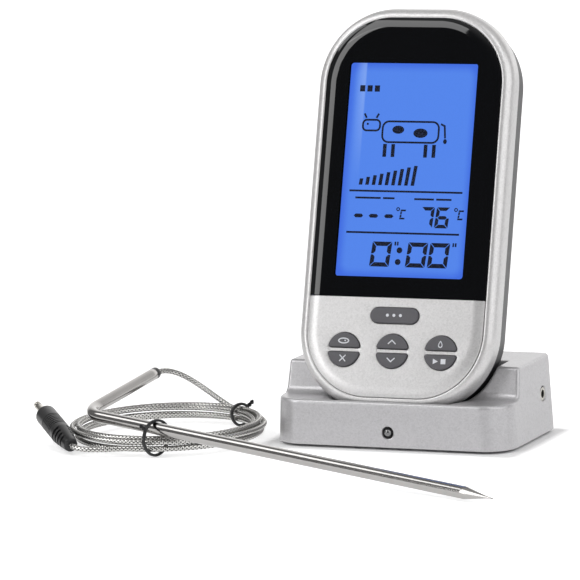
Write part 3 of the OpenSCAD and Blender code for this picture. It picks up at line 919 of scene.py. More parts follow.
def hyphen(x0, x1, z, half):
    """A level bar with pointed ends."""
    return [(x0, z), (x0 + half, z + half), (x1 - half, z + half), (x1, z), (x1 - half, z - half),
            (x0 + half, z - half)]


def digit(value, x, z, w, h, t):
    """One seven-segment digit, its leaning bars mitred to fine diagonal gaps; low left corner at x, z."""
    slant = 0.09
    gap = 0.16
    right = x + w
    top = z + h
    mid = z + h / 2
    half = t / 2
    shapes = {}
    for name, outer, into in (("a", top, -1), ("d", z, 1)):
        inner = outer + into * t
        shapes[name] = [(x + gap, outer), (right - gap, outer),
                        (right - t - gap, inner), (x + t + gap, inner)]
    shapes["g"] = hyphen(x + half + gap, right - half - gap, mid, half)
    for name, outer, into_x, end, into in (("f", x, 1, top, -1), ("b", right, -1, top, -1),
                                           ("e", x, 1, z, 1), ("c", right, -1, z, 1)):
        shapes[name] = [(outer, end + into * gap), (outer + into_x * t, end + into * (t + gap)),
                        (outer + into_x * t, mid - into * (half + gap)),
                        (outer + into_x * half, mid - into * gap), (outer, mid - into * gap)]
    return [leaned(shapes[s], slant, z) for s in SEGMENTS[value]]


def degree_sign(x, z):
    """A small ring and a four-stroke C, low left corner of the C at x, z."""
    h = 3.1
    w = 1.7
    t = 0.52
    mid = z + h / 2
    c = [bar(x, z + h - t, x + w, z + h), bar(x, z, x + w, z + t),
         bar(x, z + t + 0.1, x + t, mid - 0.08), bar(x, mid + 0.08, x + t, z + h - t - 0.1)]
    return [leaned(s, 0.12, z) for s in c], (x - 0.6, z + h + 0.1)


def cow_sign():
    """A plain pictogram of a cow facing left, in rounded frames, bars and spots: (solid outlines, rings)."""
    line = 0.6

    def rounded_frame(left, right, low, top, r):
        pair = []
        for inset in (0.0, line):
            ring = corner_ring((right - left) / 2 - inset, low + inset, top - inset, r - inset, 0.0, 6)
            pair.append(ring[:, ::2] + np.array([(left + right) / 2, 0.0]))
        return pair

    def spot(x, z, half_x, half_z):
        return [(x + half_x * a, z + half_z * b) for a, b in disc(0.0, 0.0, 1.0)]

    rings = [rounded_frame(-9.8, 9.8, 42.6, 49.8, 2.4), rounded_frame(-16.6, -10.2, 46.2, 50.2, 1.6)]
    solid = [bar(x, 38.2, x + 1.2, 42.3) for x in (-8.9, -6.1, 4.9, 7.7)]
    solid += [stroke([(x, 50.5), (x + reach, 51.9)], line) for x, reach in ((-15.2, -0.8), (-11.9, 0.8))]
    solid += [stroke([(10.1, 48.9), (11.4, 48.3), (11.8, 44.4)], line), spot(11.85, 43.4, 0.6, 0.8)]
    solid += [spot(-14.7, 48.6, 0.35, 0.35), spot(-4.2, 46.9, 2.0, 1.3), spot(3.4, 45.9, 2.4, 1.5)]
    return solid, rings


def picture_shapes():
    """Everything the display shows, as outlines in x and height above the display's bottom edge."""
    solid, rings = cow_sign()
    for k in range(3):
        solid.append(bar(-18.2 + 2.5 * k, 58.9, -16.5 + 2.5 * k, 60.9))
    for k in range(9):
        x = -16.2 + 2.2 * k
        solid.append(leaned(bar(x, 29.2, x + 1.15, 31.2 + 0.54 * k), 0.12, 29.2))
    for x0, x1, z in ((-19.2, 19.0, 27.0), (-19.2, 18.9, 13.8), (-17.0, -8.4, 24.8), (-7.6, -3.7, 24.8),
                      (3.0, 9.6, 24.7), (10.4, 15.5, 24.7)):
        solid.append(bar(x0, z, x1, z + 0.6))
    solid += [hyphen(x, x + 3.2, 19.4, 0.6) for x in (-17.1, -12.0, -6.8)]
    for x, z in ((-1.6, 18.5), (17.9, 18.7)):
        strokes, ring = degree_sign(x, z)
        solid += strokes
        rings.append((disc(ring[0], ring[1], 0.62), disc(ring[0], ring[1], 0.32)))
    solid += digit("7", 5.2, 16.0, 4.4, 6.6, 1.1)
    solid += digit("6", 10.3, 16.0, 4.5, 6.6, 1.1)
    for x in (-10.6, 1.5, 8.9):
        solid += digit("0", x, 3.4, 6.6, 7.9, 1.35)
    solid += [disc(-0.7, 8.7, 0.95), disc(-1.0, 5.0, 0.95)]
    solid += [bar(x, 10.2, x + 0.5, 11.4) for x in (-2.5, -1.7, 17.0, 17.8)]
    return solid, rings


def printed(solid, rings, front, back, offset):
    """Thin marks from flat outlines, moved by an offset in x and z."""
    parts = [prism(np.array(outline) + offset, front, back) for outline in solid]
    parts += [band(np.array(outer) + offset, np.array(inner) + offset, front, back) for outer, inner in rings]
    return joined(parts)


def front_rim():
    """The silver frame: round outer edge, flat band, and a fine bright chamfer beside lens and keypad."""
    across, deep = 3.1, 3.55
    profile = [(0.0, FRONT_END_Y), (0.0, RIM_SIDE_Y)]
    for a in np.linspace(0, math.pi / 2, 12)[1:]:
        profile.append((across * (1 - math.cos(a)), RIM_SIDE_Y - deep * math.sin(a)))
    profile += [(3.28, 0.95), (RIM_W, 1.15), (RIM_W, 2.1), (1.8, 2.2), (1.8, FRONT_END_Y)]
    return loft([outline_ring(inset, y) for inset, y in profile], closed_loop=True)


def lens_seat():
    """The inner wall behind the lens, open behind the display and ending above the keypad."""
    depths = (1.35, 2.1)
    rings = [outline_ring(2.0, y) for y in depths]
    for ring in rings:
        ring[:, 2] = np.maximum(ring[:, 2], LENS_BOTTOM + 0.2)
    opening = [corner_ring(23.6, 36.0, 110.6, 2.0, y) for y in reversed(depths)]
    return loft(rings + opening, closed_loop=True)


def screw_posts():
    """The hollow posts that take the rear housing's screws."""
    profile = [(1.9, 2.6), (FRONT_END_Y, 2.6), (FRONT_END_Y, 1.2), (3.0, 1.2)]
    return joined([turned_to_y(lathe(profile, 24), x, z) for x, z in UNIT_SCREWS])


KEYS = {
    "meat_key": (-1, 1), "clear_key": (-1, -1), "minute_key": (0, 1),
    "second_key": (0, -1), "taste_key": (1, 1), "start_key": (1, -1),
}


def key_marks(name):
    """Plain symbols in place of words, centred on 0, 0: (solid outlines, rings)."""
    turn = np.linspace(0, FULL_TURN, 24, endpoint=False)
    steak = np.column_stack([1.9 * np.cos(turn), 0.95 * np.sin(turn)])
    drop = np.column_stack([0.95 * np.sin(turn) * np.sin(turn / 2), 1.15 * np.cos(turn) - 0.1])
    marks = {
        "mode_key": ([disc(x, 0, 0.5, 16) for x in (-2.2, 0, 2.2)], []),
        "meat_key": ([disc(0.5, 0.05, 0.26, 12)], [(steak, steak * (0.78, 0.6))]),
        "clear_key": ([stroke([(-1, -side), (1, side)], 0.34) for side in (1, -1)], []),
        "minute_key": ([stroke([(-1.3, -0.55), (0, 0.6), (1.3, -0.55)], 0.36)], []),
        "second_key": ([stroke([(-1.3, 0.55), (0, -0.6), (1.3, 0.55)], 0.36)], []),
        "taste_key": ([], [(drop, drop * (0.62, 0.66) - (0, 0.1))]),
        "start_key": ([[(-2.1, -0.85), (-0.4, 0), (-2.1, 0.85)], bar(0.5, -0.8, 2.1, 0.8)], []),
    }
    return marks[name]


def add_key(name, edge, at, mark_at):
    add(name + "_cap", key_solid(edge, at), "key_rubber", name, [name], from_unit, sharp=50, even=True)
    marks = printed(*key_marks(name), -KEY_PROUD - 0.04, -KEY_PROUD + 0.06, mark_at)
    add(name + "_mark", marks, "key_print", name, place=from_unit, smooth=False)


def opening_field(x, z, heights):
    """The hole in a shell for a battery door."""
    low, high = heights
    return round_rect_field(x, z - (low + high) / 2, DOOR_HALF_W + 0.2, (high - low) / 2, 0.8)


def pivot_at(back_y, heights):
    """Where a battery door's pivot runs, as y and z."""
    return back_y - PIVOT_IN, heights[0] + PIVOT_UP


def pivot_hole_field(p, back_y, heights):
    return rod_field(p, 0, pivot_at(back_y, heights), PIVOT_R + 0.07, -BAY_HALF_W + 0.1, BAY_HALF_W - 0.1)


def rear_housing_field(p):
    """The unit's dark rear shell, drafted and hollow, with its battery bay and screw wells."""
    x, y, z = p.T
    wall = 1.7
    side = unit_outline_field(x, z) + 0.4 + 0.15 * (y - SPLIT_Y)
    shell = both(both(side, y - UNIT_DEPTH, 5.0), SPLIT_Y + 0.05 - y, 0.3)
    room = both(side + wall, y - UNIT_DEPTH + wall + 0.1, 3.5)
    room = less(room, box_field(p, (-BAY_HALF_W, REAR_FROM_Y, 20.3), (BAY_HALF_W, 19.2, 51.2)), 0.3)
    for at in UNIT_SCREWS:
        room = less(room, rod_field(p, 1, at, 3.0, REAR_FROM_Y, 19), 0.3)
    shell = less(shell, room, 0.3)
    shell = less(shell, np.maximum(opening_field(x, z, UNIT_OPENING_Z), REAR_FROM_Y + 0.8 - y), 0.25)
    for at in UNIT_SCREWS:
        shell = less(shell, rod_field(p, 1, at, 1.3, 0, PAST), 0.1)
        shell = less(shell, rod_field(p, 1, at, SCREW_WELL_R, 14, PAST), 0.25)
    return less(shell, pivot_hole_field(p, UNIT_DEPTH, UNIT_DOOR_Z), 0.05)


def add_door(name, node, slot, body, back_y, heights, place):
    """A battery door with its outer face at back_y, a grip of five ridges and a pivot rod."""
    low, high = heights

    def ring(inset, y):
        return corner_ring(DOOR_HALF_W - inset, low + inset, high - inset, 0.7, back_y + y, 6)

    profile = [(0.25, -DOOR_T), (0.0, -DOOR_T + 0.25), (0.0, -0.3), (0.09, -0.09), (0.3, 0.0)]
    parts = [loft([ring(inset, y) for inset, y in profile])]
    for k in range(5):
        ridge = lathe([(-7, 0.01), (-6.85, 0.3), (6.85, 0.3), (7, 0.01)], 16)
        parts.append(moved(ridge, 0, back_y - 0.14, high - 3.0 - 1.1 * k))
    end = DOOR_HALF_W + 1.1
    rod = [(-end, PIVOT_R - 0.2), (-end + 0.2, PIVOT_R), (end - 0.2, PIVOT_R), (end, PIVOT_R - 0.2)]
    parts.append(moved(lathe(rod, 20), 0, *pivot_at(back_y, heights)))
    add(name, joined(parts), slot, body, [node], place, sharp=40, even=True)


def build_display_unit():
    body = "display_unit"
    keys = {"mode_key": (mode_edge, (0, MODE_Z), (0, MODE_Z))}
    for name, (column, half) in KEYS.items():
        at = (column * KEY_PITCH, KEY_Z)
        keys[name] = (partial(key_edge, half), at, (at[0], at[1] + half * 2.75))

    def key_hole(edge, at, growth):
        return edge(growth + KEY_GAP) + np.array(at)

    holes = [partial(key_hole, edge, at) for edge, at, _ in keys.values()]
    add("unit_frame", joined([front_rim(), lens_seat(), screw_posts()]), "silver_paint_light", body,
        ["front_housing"], from_unit, sharp=38)
    panel = crowned_panel(True, PANEL_TOP, PANEL_BACK_Y, holes, RIM_W + 0.12)
    add("keypad_panel", panel, "silver_paint_light", body, place=from_unit, sharp=30, even=True)
    lens = crowned_panel(False, LENS_BOTTOM + 0.05, LENS_T, [], RIM_W + 0.1)
    add("clear_lens", lens, "lens_black", body, ["display_lens"], from_unit, sharp=30, even=True)
    marks = printed(*picture_shapes(), *MARKS_Y, (0, LCD_BOTTOM))
    add("display_marks", marks, "ink", body, place=from_unit, smooth=False)
    for name, (edge, at, mark_at) in keys.items():
        add_key(name, edge, at, mark_at)
    corners = (-UNIT_HALF_W, SPLIT_Y, UNIT_LOW), (UNIT_HALF_W, UNIT_DEPTH, UNIT_TOP)
    shell = field_mesh(rear_housing_field, *corners, 0.5)
    add("rear_shell", shell, "dark_plastic", body, ["rear_housing"], from_unit)
    add_door("unit_door_panel", "unit_door", "dark_plastic", "unit_battery_door", UNIT_DEPTH, UNIT_DOOR_Z,
             from_unit)


# ---------------------------------------------------------------- base

def base_plan_field(p, inset=0.0):
    x, y, z = p.T
    t = z / BASE_H
    half = BASE_HALF_W + (BASE_TOP_HALF_W - BASE_HALF_W) * t
    front = -BASE_HALF_D + FRONT_LEAN * t
    middle = (front + BASE_HALF_D) / 2
    half_d = (BASE_HALF_D - front) / 2
    r = np.where(y < 0, FRONT_CORNER, REAR_CORNER)
    return round_rect_field(x, y - middle, half, half_d, r) + inset


def step_field(p, inset=0.0, fillet=2.2):
    """Below the ledge or behind the leaning shoulder wall."""
    _, y, z = p.T
    rise = BASE_H - LEDGE_Z
    run = SHOULDER_TOP_Y - SHOULDER_LOW_Y
    wall = ((z - LEDGE_Z) * run - (y - SHOULDER_LOW_Y) * rise) / math.hypot(rise, run)
    return either(z - LEDGE_Z + inset, wall + inset, fillet)


def dock_field(p, gap):
    q = to_unit(p)
    draft = 0.13 * np.maximum(q[:, 1] - SPLIT_Y, 0)
    outline = unit_outline_field(q[:, 0], q[:, 2]) - gap + draft
    return np.maximum(outline, span(q[:, 1], 0.4 - max(gap - DOCK_GAP, 0), UNIT_DEPTH + gap))


def base_shell_field(p):
    """The base's shell: ledge, shoulder, dock slot, battery bay and holes for lamp, jack and switch."""
    y, z = p[:, 1], p[:, 2]
    block = both(base_plan_field(p), both(step_field(p), z - BASE_H, 1.0), 1.0)
    block = both(block, BASE_LOW - z, 0.4)
    room = both(base_plan_field(p, WALL), np.maximum(step_field(p, WALL, 1.5), z - BASE_H + WALL), 0.6)
    room = less(room, dock_field(p, DOCK_GAP + DOCK_WALL), 0.3)
    for at in BASE_SCREWS:
        room = less(room, rod_field(p, 2, at, POST_R, 2, PAST), 0.3)
    room = less(room, box_field(p, (-BAY_HALF_W, 8, 2), (BAY_HALF_W, PAST, PAST)), 0.3)
    shell = less(block, room, 0.2)
    shell = less(shell, dock_field(p, DOCK_GAP), 0.5)
    shell = less(shell, box_field(p, (-BASE_BAY_HALF_W, 9.2, 0.5), (BASE_BAY_HALF_W, 19.7, 23.1)), 0.2)
    shell = less(shell, np.maximum(opening_field(p[:, 0], z, BASE_OPENING_Z), 18.9 - y), 0.25)
    shell = less(shell, pivot_hole_field(p, BASE_HALF_D, BASE_DOOR_Z), 0.05)
    for at in BASE_SCREWS:
        shell = less(shell, rod_field(p, 2, at, SCREW_HOLE_R, 0, 10), 0.1)
    shell = less(shell, rod_field(p, 0, JACK, JACK_HOLE_R, 36, BASE_HALF_W + 5), 0.35)
    shell = less(shell, rod_field(p, 1, (0, LED_Z), LED_HOLE_R, -PAST, -17.5), 0.3)
    slot = round_rect_field(p[:, 0] - SWITCH[0], z - SWITCH[1], *SWITCH_SLOT, 0.5)
    return less(shell, np.maximum(slot, 18.5 - y), 0.3)


def lamp():
    """A small clear dome and the dark sleeve round it; the dome's dark tone and the sleeve are painted shade of
    the recessed hole.
    """
    face = -BASE_HALF_D + 0.75
    r = 1.35
    dome = [(-0.95 * r * math.sin(a), max(r * math.cos(a), 0.001)) for a in np.linspace(math.pi / 2, 0, 9)]
    dome += [(4.2, r), (4.2, 1.7), (5.0, 1.7)]
    sleeve = [(0.1, 1.4), (-0.25, 1.45), (-0.35, 1.6), (-0.25, 1.75), (2.2, 1.82), (2.2, 1.4)]
    shapes = (lathe(dome, 32), lathe(sleeve, 32, hollow=True))
    return [moved(turned_to_y(shape, 0, LED_Z), 0, face, 0) for shape in shapes]


def switch_button():
    """The slide switch's knob, with three grip ridges."""
    half = 1.4
    face = 22.25
    x, z = SWITCH[0] - 1.3, SWITCH[1]

    def ring(inset, y):
        return corner_ring(half - inset, z - half + inset, z + half - inset, 0.3, y, 5)

    parts = [loft([ring(0, 16.7), ring(0, face - 0.25), ring(0.1, face - 0.05), ring(0.3, face + 0.05)])]
    for k in (-1, 0, 1):
        points, faces = lathe([(-1.05, 0.02), (-0.95, 0.16), (0.95, 0.16), (1.05, 0.02)], 12)
        points = np.column_stack([points[:, 2] + 0.75 * k, points[:, 1] + face, points[:, 0] + z])
        parts.append((points, face_outward(points, faces)))
    return moved(joined(parts), x, 0, 0)


def build_base():
    corners = (-BASE_HALF_W - 0.05, -BASE_HALF_D, BASE_LOW), (BASE_HALF_W + 0.05, BASE_HALF_D, BASE_H)
    shell = field_mesh(base_shell_field, *corners, 0.45)
    add("base_case", shell, "silver_paint", "base", ["base_shell"])
    dome, sleeve = lamp()
    # the dome's dark tone and the black sleeve are painted shade of the lamp's recessed hole
    add("lamp_dome", dome, "led_clear", "base", ["status_led"], sharp=50)
    add("lamp_shadow_sleeve", sleeve, "black_plastic", "base", sharp=40)
    add("switch_button", switch_button(), "black_plastic", "power_switch", ["switch_knob"], sharp=35)
    add_door("base_door_panel", "base_door", "silver_paint", "base_battery_door", BASE_HALF_D, BASE_DOOR_Z,
             as_is)


# ---------------------------------------------------------------- probe set

ARM_DIR = np.array([math.cos(BEND_ANGLE), math.sin(BEND_ANGLE), 0])
ARM_FROM = np.array([-BEND_R * math.sin(BEND_ANGLE), BEND_R * (1 + math.cos(BEND_ANGLE)), 0])


def tube_shape():
    """The bent tube from the arm's end round the bend to the point."""
    path = [ARM_FROM + ARM_DIR * s for s in np.linspace(ARM_L, 0.5, 16)]
    path.insert(1, path[0] - ARM_DIR * 0.2)
    for a in np.linspace(math.pi / 2 + BEND_ANGLE, 3 * math.pi / 2, 20):
        path.append(np.array([BEND_R * math.cos(a), BEND_R + BEND_R * math.sin(a), 0]))
    cone_from = SHAFT_L - POINT_L
    path += [np.array([s, 0, 0]) for s in np.linspace(1.0, cone_from - 1.2, 40)]
    radii = [TUBE_R - 0.2] + [TUBE_R] * (len(path) - 1)
    for t in np.linspace(0, 1, 14):
        path.append(np.array([cone_from - 0.6 + t * (POINT_L + 0.6), 0, 0]))
        radii.append(max(min(TUBE_R, TUBE_R * (1 - t) * (1.1 - 0.1 * t)), 0.22))
    path.append(np.array([SHAFT_L + 0.05, 0, 0]))
    radii.append(0.08)
    return sweep(path, radii, 32)


def strand_turn(a):
    return STRAND_FROM - (a - COIL_FROM) / STRANDS


def coil_point(a):
    phi = strand_turn(a)
    r = COIL_R + BUNDLE_R * math.cos(phi)
    return np.array([r * math.cos(a), r * math.sin(a), BUNDLE_Z + BUNDLE_R * math.sin(phi)])


def coil_dir(a):
    return np.array([-math.sin(a), math.cos(a), 0])


def lead_path(step):
    """The lead's centre line in the set's frame, in even steps, and the length at each: plug, coil, arm."""
    lead_in = np.array([1.5, 0, 0]) @ PLUG_ROT.T + np.array(PLUG_FROM)
    back = np.array([-9.0, 0, 0]) @ PLUG_ROT.T
    lead_out = (ARM_FROM + ARM_DIR * (ARM_L + 0.4)) @ TUBE_ROT.T + np.array(TUBE_FROM)
    onward = (ARM_DIR * 15) @ TUBE_ROT.T
    start = coil_point(COIL_FROM)
    end = coil_point(COIL_TO)
    before = start - 8 * coil_dir(COIL_FROM)
    after = end + 13 * coil_dir(COIL_TO) + np.array([0, 0, 2.0])
    first = bezier(lead_in, lead_in + back, before, start, np.linspace(0, 1, 60)[:-1])
    turns = np.array([coil_point(a) for a in np.linspace(COIL_FROM, COIL_TO, 1400)])
    last = bezier(end, after, lead_out + onward, lead_out, np.linspace(0, 1, 90)[1:])
    path = np.concatenate([first, turns, last])
    length = np.concatenate([[0], np.cumsum(np.linalg.norm(np.diff(path, axis=0), axis=1))])
    even = np.linspace(0, length[-1], int(length[-1] / step))
    return np.column_stack([np.interp(even, length, path[:, k]) for k in range(3)]), even


def braided_lead():
    """Flat wire bundles woven both ways round the lead's core: (core, braid)."""
    path, length = lead_path(0.3)
    _, side, top = path_frames(path)
    strands = []
    for way in (-1, 1):
        weave = way * BRAID_WEAVE * np.cos(FULL_TURN * BRAID_STRANDS * length / BRAID_PITCH)
        for k in range(BRAID_STRANDS):
            angle = way * FULL_TURN * length / BRAID_PITCH + FULL_TURN * k / BRAID_STRANDS
            out = np.cos(angle)[:, None] * side + np.sin(angle)[:, None] * top
            across = -np.sin(angle)[:, None] * side + np.cos(angle)[:, None] * top
            corners = []
            for u, v in ((1, 0), (0, 1), (-1, 0), (0, -1)):
                reach = BRAID_R + weave + v * BRAID_HALF_T
                corners.append(path + reach[:, None] * out + u * BRAID_HALF_W * across)
            strands.append(loft(np.stack(corners, axis=1)))
    return sweep(lead_path(1.0)[0], BRAID_R - BRAID_WEAVE, 12), joined(strands)


def tie_shape(a, r, height, swing):
    """One black wire tie: two turns round the bundle and a short twisted tail."""
    turn = np.linspace(0, 2 * FULL_TURN, 121)
    drift = np.linspace(-0.42, 0.42, len(turn))
    wobbly = r + 0.1 * np.sin(3 * turn)
    parts = [sweep(np.column_stack([wobbly * np.cos(turn), wobbly * np.sin(turn), drift]), TIE_R, 10)]
    rise = math.radians(35)
    onward = np.array([math.cos(rise), math.sin(rise), 0.0])
    aside = np.array([-math.sin(rise), math.cos(rise), 0.0])
    out = np.array([0.0, 0.0, 1.0])
    s = np.linspace(0, TAIL_L, 24)
    for half in (0, math.pi):
        twist = FULL_TURN * s / TAIL_PITCH + half
        around = np.cos(twist)[:, None] * aside + np.sin(twist)[:, None] * out
        parts.append(sweep((r + 0.1 + s)[:, None] * onward + 0.38 * around, TAIL_R, 8))
    points, faces = joined(parts)
    upright = rotation(a + swing, "Z") @ rotation(math.pi / 2, "X")
    centre = rotation(a, "Z") @ np.array([COIL_R, 0, 0]) + np.array([0, 0, height])
    return points @ upright.T + centre, faces


def plug_grip_field(p):
    """The plug's body about the x axis: slotted bend relief, fine grooves, smooth front with a soft edge."""
    x = p[:, 0]
    off_axis = np.hypot(p[:, 1], p[:, 2])
    taper = PLUG_TAIL_R + (PLUG_R - PLUG_TAIL_R) * np.clip(x / PLUG_TAPER_L, 0, 1) ** 0.8
    solid = both(off_axis - taper, span(x, 0, PLUG_L), 0.5)
    for k in range(SLOTS):
        slot = np.abs(x - SLOT_FROM - SLOT_PITCH * k) - 0.5
        solid = less(solid, np.maximum(slot, SPINE_HALF - np.abs(p[:, 1])), 0.2)
    for k in range(GROOVES):
        groove = np.abs(x - GROOVE_FROM - GROOVE_PITCH * k) - 0.2
        solid = less(solid, np.maximum(groove, PLUG_R - GROOVE_DEEP - off_axis), 0.12)
    return solid


def plug_metal():
    """Collar and pin, insulating ring, and grooved tip, with places counted back from the pin's end."""
    sleeve = [(-PIN_L - 5.5, 0.95), (-PIN_L - 0.1, 0.95), (-PIN_L - 0.05, 1.7), (-PIN_L + 0.3, 1.7),
              (-PIN_L + 0.35, PIN_R), (-3.68, PIN_R), (-3.6, PIN_R - 0.08)]
    ring = [(-3.62, 1.1), (-3.58, 1.18), (-2.96, 1.18), (-2.9, 1.1)]
    tip = [(-2.9, 1.12), (-2.84, 1.2), (-2.5, 1.12), (-2.15, 0.92), (-1.9, 0.88), (-1.6, 0.95),
           (-1.25, 1.15), (-1.05, 1.18), (-0.8, 1.1), (-0.3, 0.72), (-0.08, 0.5), (0.0, 0.25)]
    return [moved(lathe(profile, 40), PLUG_L + PIN_L, 0, 0) for profile in (sleeve, ring, tip)]


def end_seal():
    """The black seal in the arm's open end."""
    profile = [(-3.0, 1.3), (-0.02, 1.3), (0.0, TUBE_R - 0.03), (1.2, TUBE_R - 0.03), (1.75, TUBE_R - 0.22),
               (2.1, TUBE_R - 0.6), (2.2, 0.9)]
    points, faces = moved(lathe(profile, 40), ARM_L, 0, 0)
    return points @ rotation(BEND_ANGLE, "Z").T + ARM_FROM, faces


def build_probe_set():
    body = "probe_set"
    add("steel_tube", tube_shape(), "stainless", body, ["probe_tube"], from_tube, sharp=50)
    add("arm_end_seal", end_seal(), "black_plastic", body, ["end_seal"], from_tube, sharp=50)
    core, braid = braided_lead()
    # the core is coloured dark as painted shade between the braid's strands
    add("lead_core_painted_shade", core, "lead_core_painted_shade", body, ["probe_lead"], from_set)
    add("lead_braid", braid, "braid", body, ["probe_lead"], from_set, sharp=60)
    ties = joined([tie_shape(*tie) for tie in TIES])
    add("wire_ties", ties, "black_plastic", body, ["lead_ties"], from_set)
    fine = 0.17
    grip = field_mesh(plug_grip_field, (0, -PLUG_R, -PLUG_R), (PLUG_L, PLUG_R, PLUG_R), fine)
    add("plug_grip", grip, "black_plastic", body, ["plug_body"], from_plug)
    sleeve, ring, tip = plug_metal()
    add("plug_pin_metal", sleeve, "nickel", body, ["plug_sleeve"], from_plug, sharp=35)
    add("plug_band", ring, "black_plastic", body, ["plug_ring"], from_plug, sharp=35)
    add("plug_point", tip, "nickel", body, ["plug_tip"], from_plug, sharp=60)


# ---------------------------------------------------------------- kept CAD nodes

SOFT_EDGED = ["base_pad", "base_cover", "switch_case", "keypad_mat"]


def finish_cad_nodes():
    """Gives every CAD node still shown the finish that its record slot names, but for the two-part jack."""
    slot_of = {part["node"]: part["material_slot"] for part in frame["record"]["subparts"]}
    slot_of["probe_jack"] = "jack"
    for name, node in frame["nodes"].items():
        if node.hide_render:
            continue
        node.data.materials.clear()
        node.data.materials.append(FINISH[slot_of[name]])
        if name in SOFT_EDGED:
            soften(node, 0.25, 2)


# ---------------------------------------------------------------- stage

# brightness of the room as the object sees it, and where along a direction's y or z each part fades in
ROOM_FRONT = 0.07
ROOM_SIDE = 0.22
ROOM_BACK = 1.35
ROOM_TOP = 0.6
SIDE_FADE = (-0.85, -0.4)
BACK_FADE = (0.3, 0.88)
TOP_FADE = (0.6, 1.0)

# the floor's own light: near, far, where it changes (m), what mirrors see, its fade beside the base (m)
GLOW_NEAR = 0.52
GLOW_FAR = 0.85
GLOW_FADE = (0.22, 1.3)
GLOW_MIRRORED = 0.4
CONTACT_FADE = (0.001, 0.006)

# soft boxes: turn from the front, rise, width and height in degrees, brightness
LIGHT_DISTANCE = 1.3
LIGHT_AIM = Vector((0.0, 0.0, 0.07))
SOFT_BOXES = {
    "left_box": (-42.5, 19, 21, 37, 3.2),
    "top_box": (-38, 47, 30, 21, 3.0),
    "front_box": (46, 58, 22, 14, 3.4),
    "probe_box": (-80, 41, 20, 18, 2.6),
    "low_box": (-25, 4, 36, 13, 1.3),
    "right_box": (66, 25, 66, 44, 1.5),
}

CAMERA_TURN = math.radians(23.6)
CAMERA_RISE = math.radians(9.07)
CAMERA_ROLL = math.radians(-2.1)
CAMERA_AIM = Vector((-0.0451, 0.0100, 0.0444))
CAMERA_DISTANCE = 1.6
CAMERA_LENS = 310.34


def direction(turn, rise):
    """A unit vector from the object, turned from the front to the right and raised."""
    return Vector((math.sin(turn) * math.cos(rise), -math.cos(turn) * math.cos(rise), math.sin(rise)))


def floor_glow(g):
    """Light added to what the camera sees, none under the base and rising with distance so that the floor
    stays white far away, and to what glossy surfaces mirror."""
    rays = g.node("ShaderNodeLightPath").outputs
    far = g.span(g.vector("LENGTH", g.place), GLOW_NEAR, GLOW_FAR, *GLOW_FADE, smooth=True)
    half_base = (BASE_HALF_W * MM, BASE_HALF_D * MM, 1.0)
    beyond = g.vector("MAXIMUM", g.vector("SUBTRACT", g.vector("ABSOLUTE", g.place), half_base))
    clear = g.span(g.vector("LENGTH", beyond), 0.0, 1.0, *CONTACT_FADE, smooth=True)
    seen = g.math("MULTIPLY", rays["Is Camera Ray"], g.math("MULTIPLY", far, clear))
    mirrored = g.math("MULTIPLY", rays["Is Glossy Ray"], GLOW_MIRRORED)
    g.set(Emission_Color=(1, 1, 1, 1), Emission_Strength=g.math("ADD", seen, mirrored))


def add_floor():
    """A wide pale floor."""
    rim = np.array(disc(0.0, 0.0, 6000.0, 64))
    points, faces = loft([np.column_stack([rim, np.full(len(rim), z)]) for z in (-20.0, 0.0)])
    g = new_graph("floor_paper")
    g.set(Base_Color=g.blend(g.noise(400.0), (0.84, 0.84, 0.845, 1), (0.86, 0.86, 0.865, 1)))
    g.set(Roughness=0.8, Specular_IOR_Level=0.15)
    floor_glow(g)
    mesh = bpy.data.meshes.new("floor")
    mesh.from_pydata((points * MM).tolist(), [], faces)
    mesh.materials.append(g.owner)
    put_on_stage(bpy.data.objects.new("floor", mesh))


def put_on_stage(thing):
    bpy.context.scene.collection.objects.link(thing)


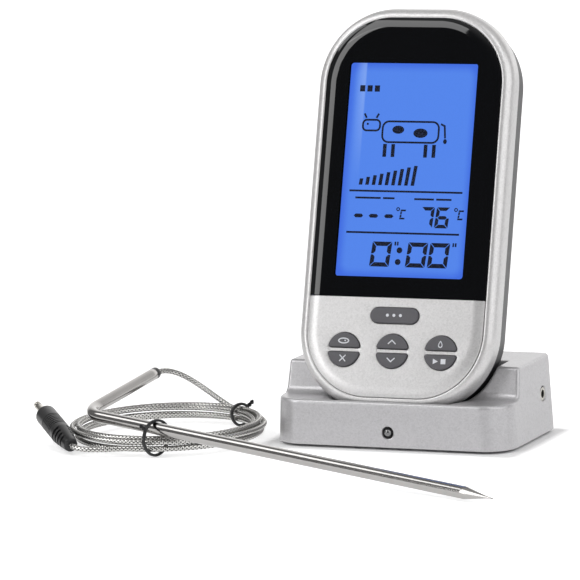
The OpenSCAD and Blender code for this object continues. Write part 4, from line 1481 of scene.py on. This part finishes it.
def add_soft_box(name, turn, rise, wide, high, brightness):
    """A soft box that the camera doesn't see, facing the object from a direction given in degrees."""
    away = direction(math.radians(turn), math.radians(rise))
    data = bpy.data.lights.new(name, "AREA")
    data.shape = "RECTANGLE"
    data.size = 2 * LIGHT_DISTANCE * math.tan(math.radians(wide / 2))
    data.size_y = 2 * LIGHT_DISTANCE * math.tan(math.radians(high / 2))
    data.energy = brightness * math.pi * data.size * data.size_y
    light = bpy.data.objects.new(name, data)
    light.location = LIGHT_AIM + away * LIGHT_DISTANCE
    light.rotation_euler = (-away).to_track_quat("-Z", "Y").to_euler()
    light.visible_camera = False
    put_on_stage(light)


def add_world():
    """White to the camera; to everything else a room that is bright behind and above, and dark in front."""
    world = bpy.data.worlds.new("studio")
    bpy.context.scene.world = world
    g = Graph(world, "Generated")
    depth = g.axis(g.place, "Y")
    sides = g.span(depth, ROOM_FRONT, ROOM_SIDE, *SIDE_FADE, smooth=True)
    behind = g.span(depth, 0.0, ROOM_BACK, *BACK_FADE, smooth=True)
    above = g.span(g.axis(g.place, "Z"), 0.0, ROOM_TOP, *TOP_FADE, smooth=True)
    room = g.nodes["Background"]
    g.put(room.inputs["Color"], (1.0, 0.995, 0.99, 1))
    g.put(room.inputs["Strength"], g.math("MAXIMUM", g.math("MAXIMUM", sides, behind), above))
    backdrop = g.node("ShaderNodeBackground")
    g.put(backdrop.inputs["Color"], (1, 1, 1, 1))
    seen = g.node("ShaderNodeLightPath").outputs["Is Camera Ray"]
    whole = g.mix_shader(seen, room.outputs["Background"], backdrop.outputs["Background"])
    g.put(g.nodes["World Output"].inputs["Surface"], whole)


def add_camera():
    """A long lens from the front right, a little above the display unit's middle."""
    back = direction(CAMERA_TURN, CAMERA_RISE)
    level_right = Vector((math.cos(CAMERA_TURN), math.sin(CAMERA_TURN), 0))
    level_up = back.cross(level_right)
    right = level_right * math.cos(CAMERA_ROLL) + level_up * math.sin(CAMERA_ROLL)
    data = bpy.data.cameras.new("camera")
    data.lens = CAMERA_LENS
    data.sensor_width = 36
    data.clip_end = 50
    camera = bpy.data.objects.new("camera", data)
    turn = Matrix((right, back.cross(right), back)).transposed().to_4x4()
    camera.matrix_world = Matrix.Translation(CAMERA_AIM + back * CAMERA_DISTANCE) @ turn
    bpy.context.scene.collection.objects.link(camera)
    bpy.context.scene.camera = camera


build_display_unit()
build_base()
build_probe_set()
finish_cad_nodes()
add_floor()
add_world()
for box, settings in SOFT_BOXES.items():
    add_soft_box(box, *settings)
add_camera()
bpy.context.scene.view_settings.view_transform = "Standard"
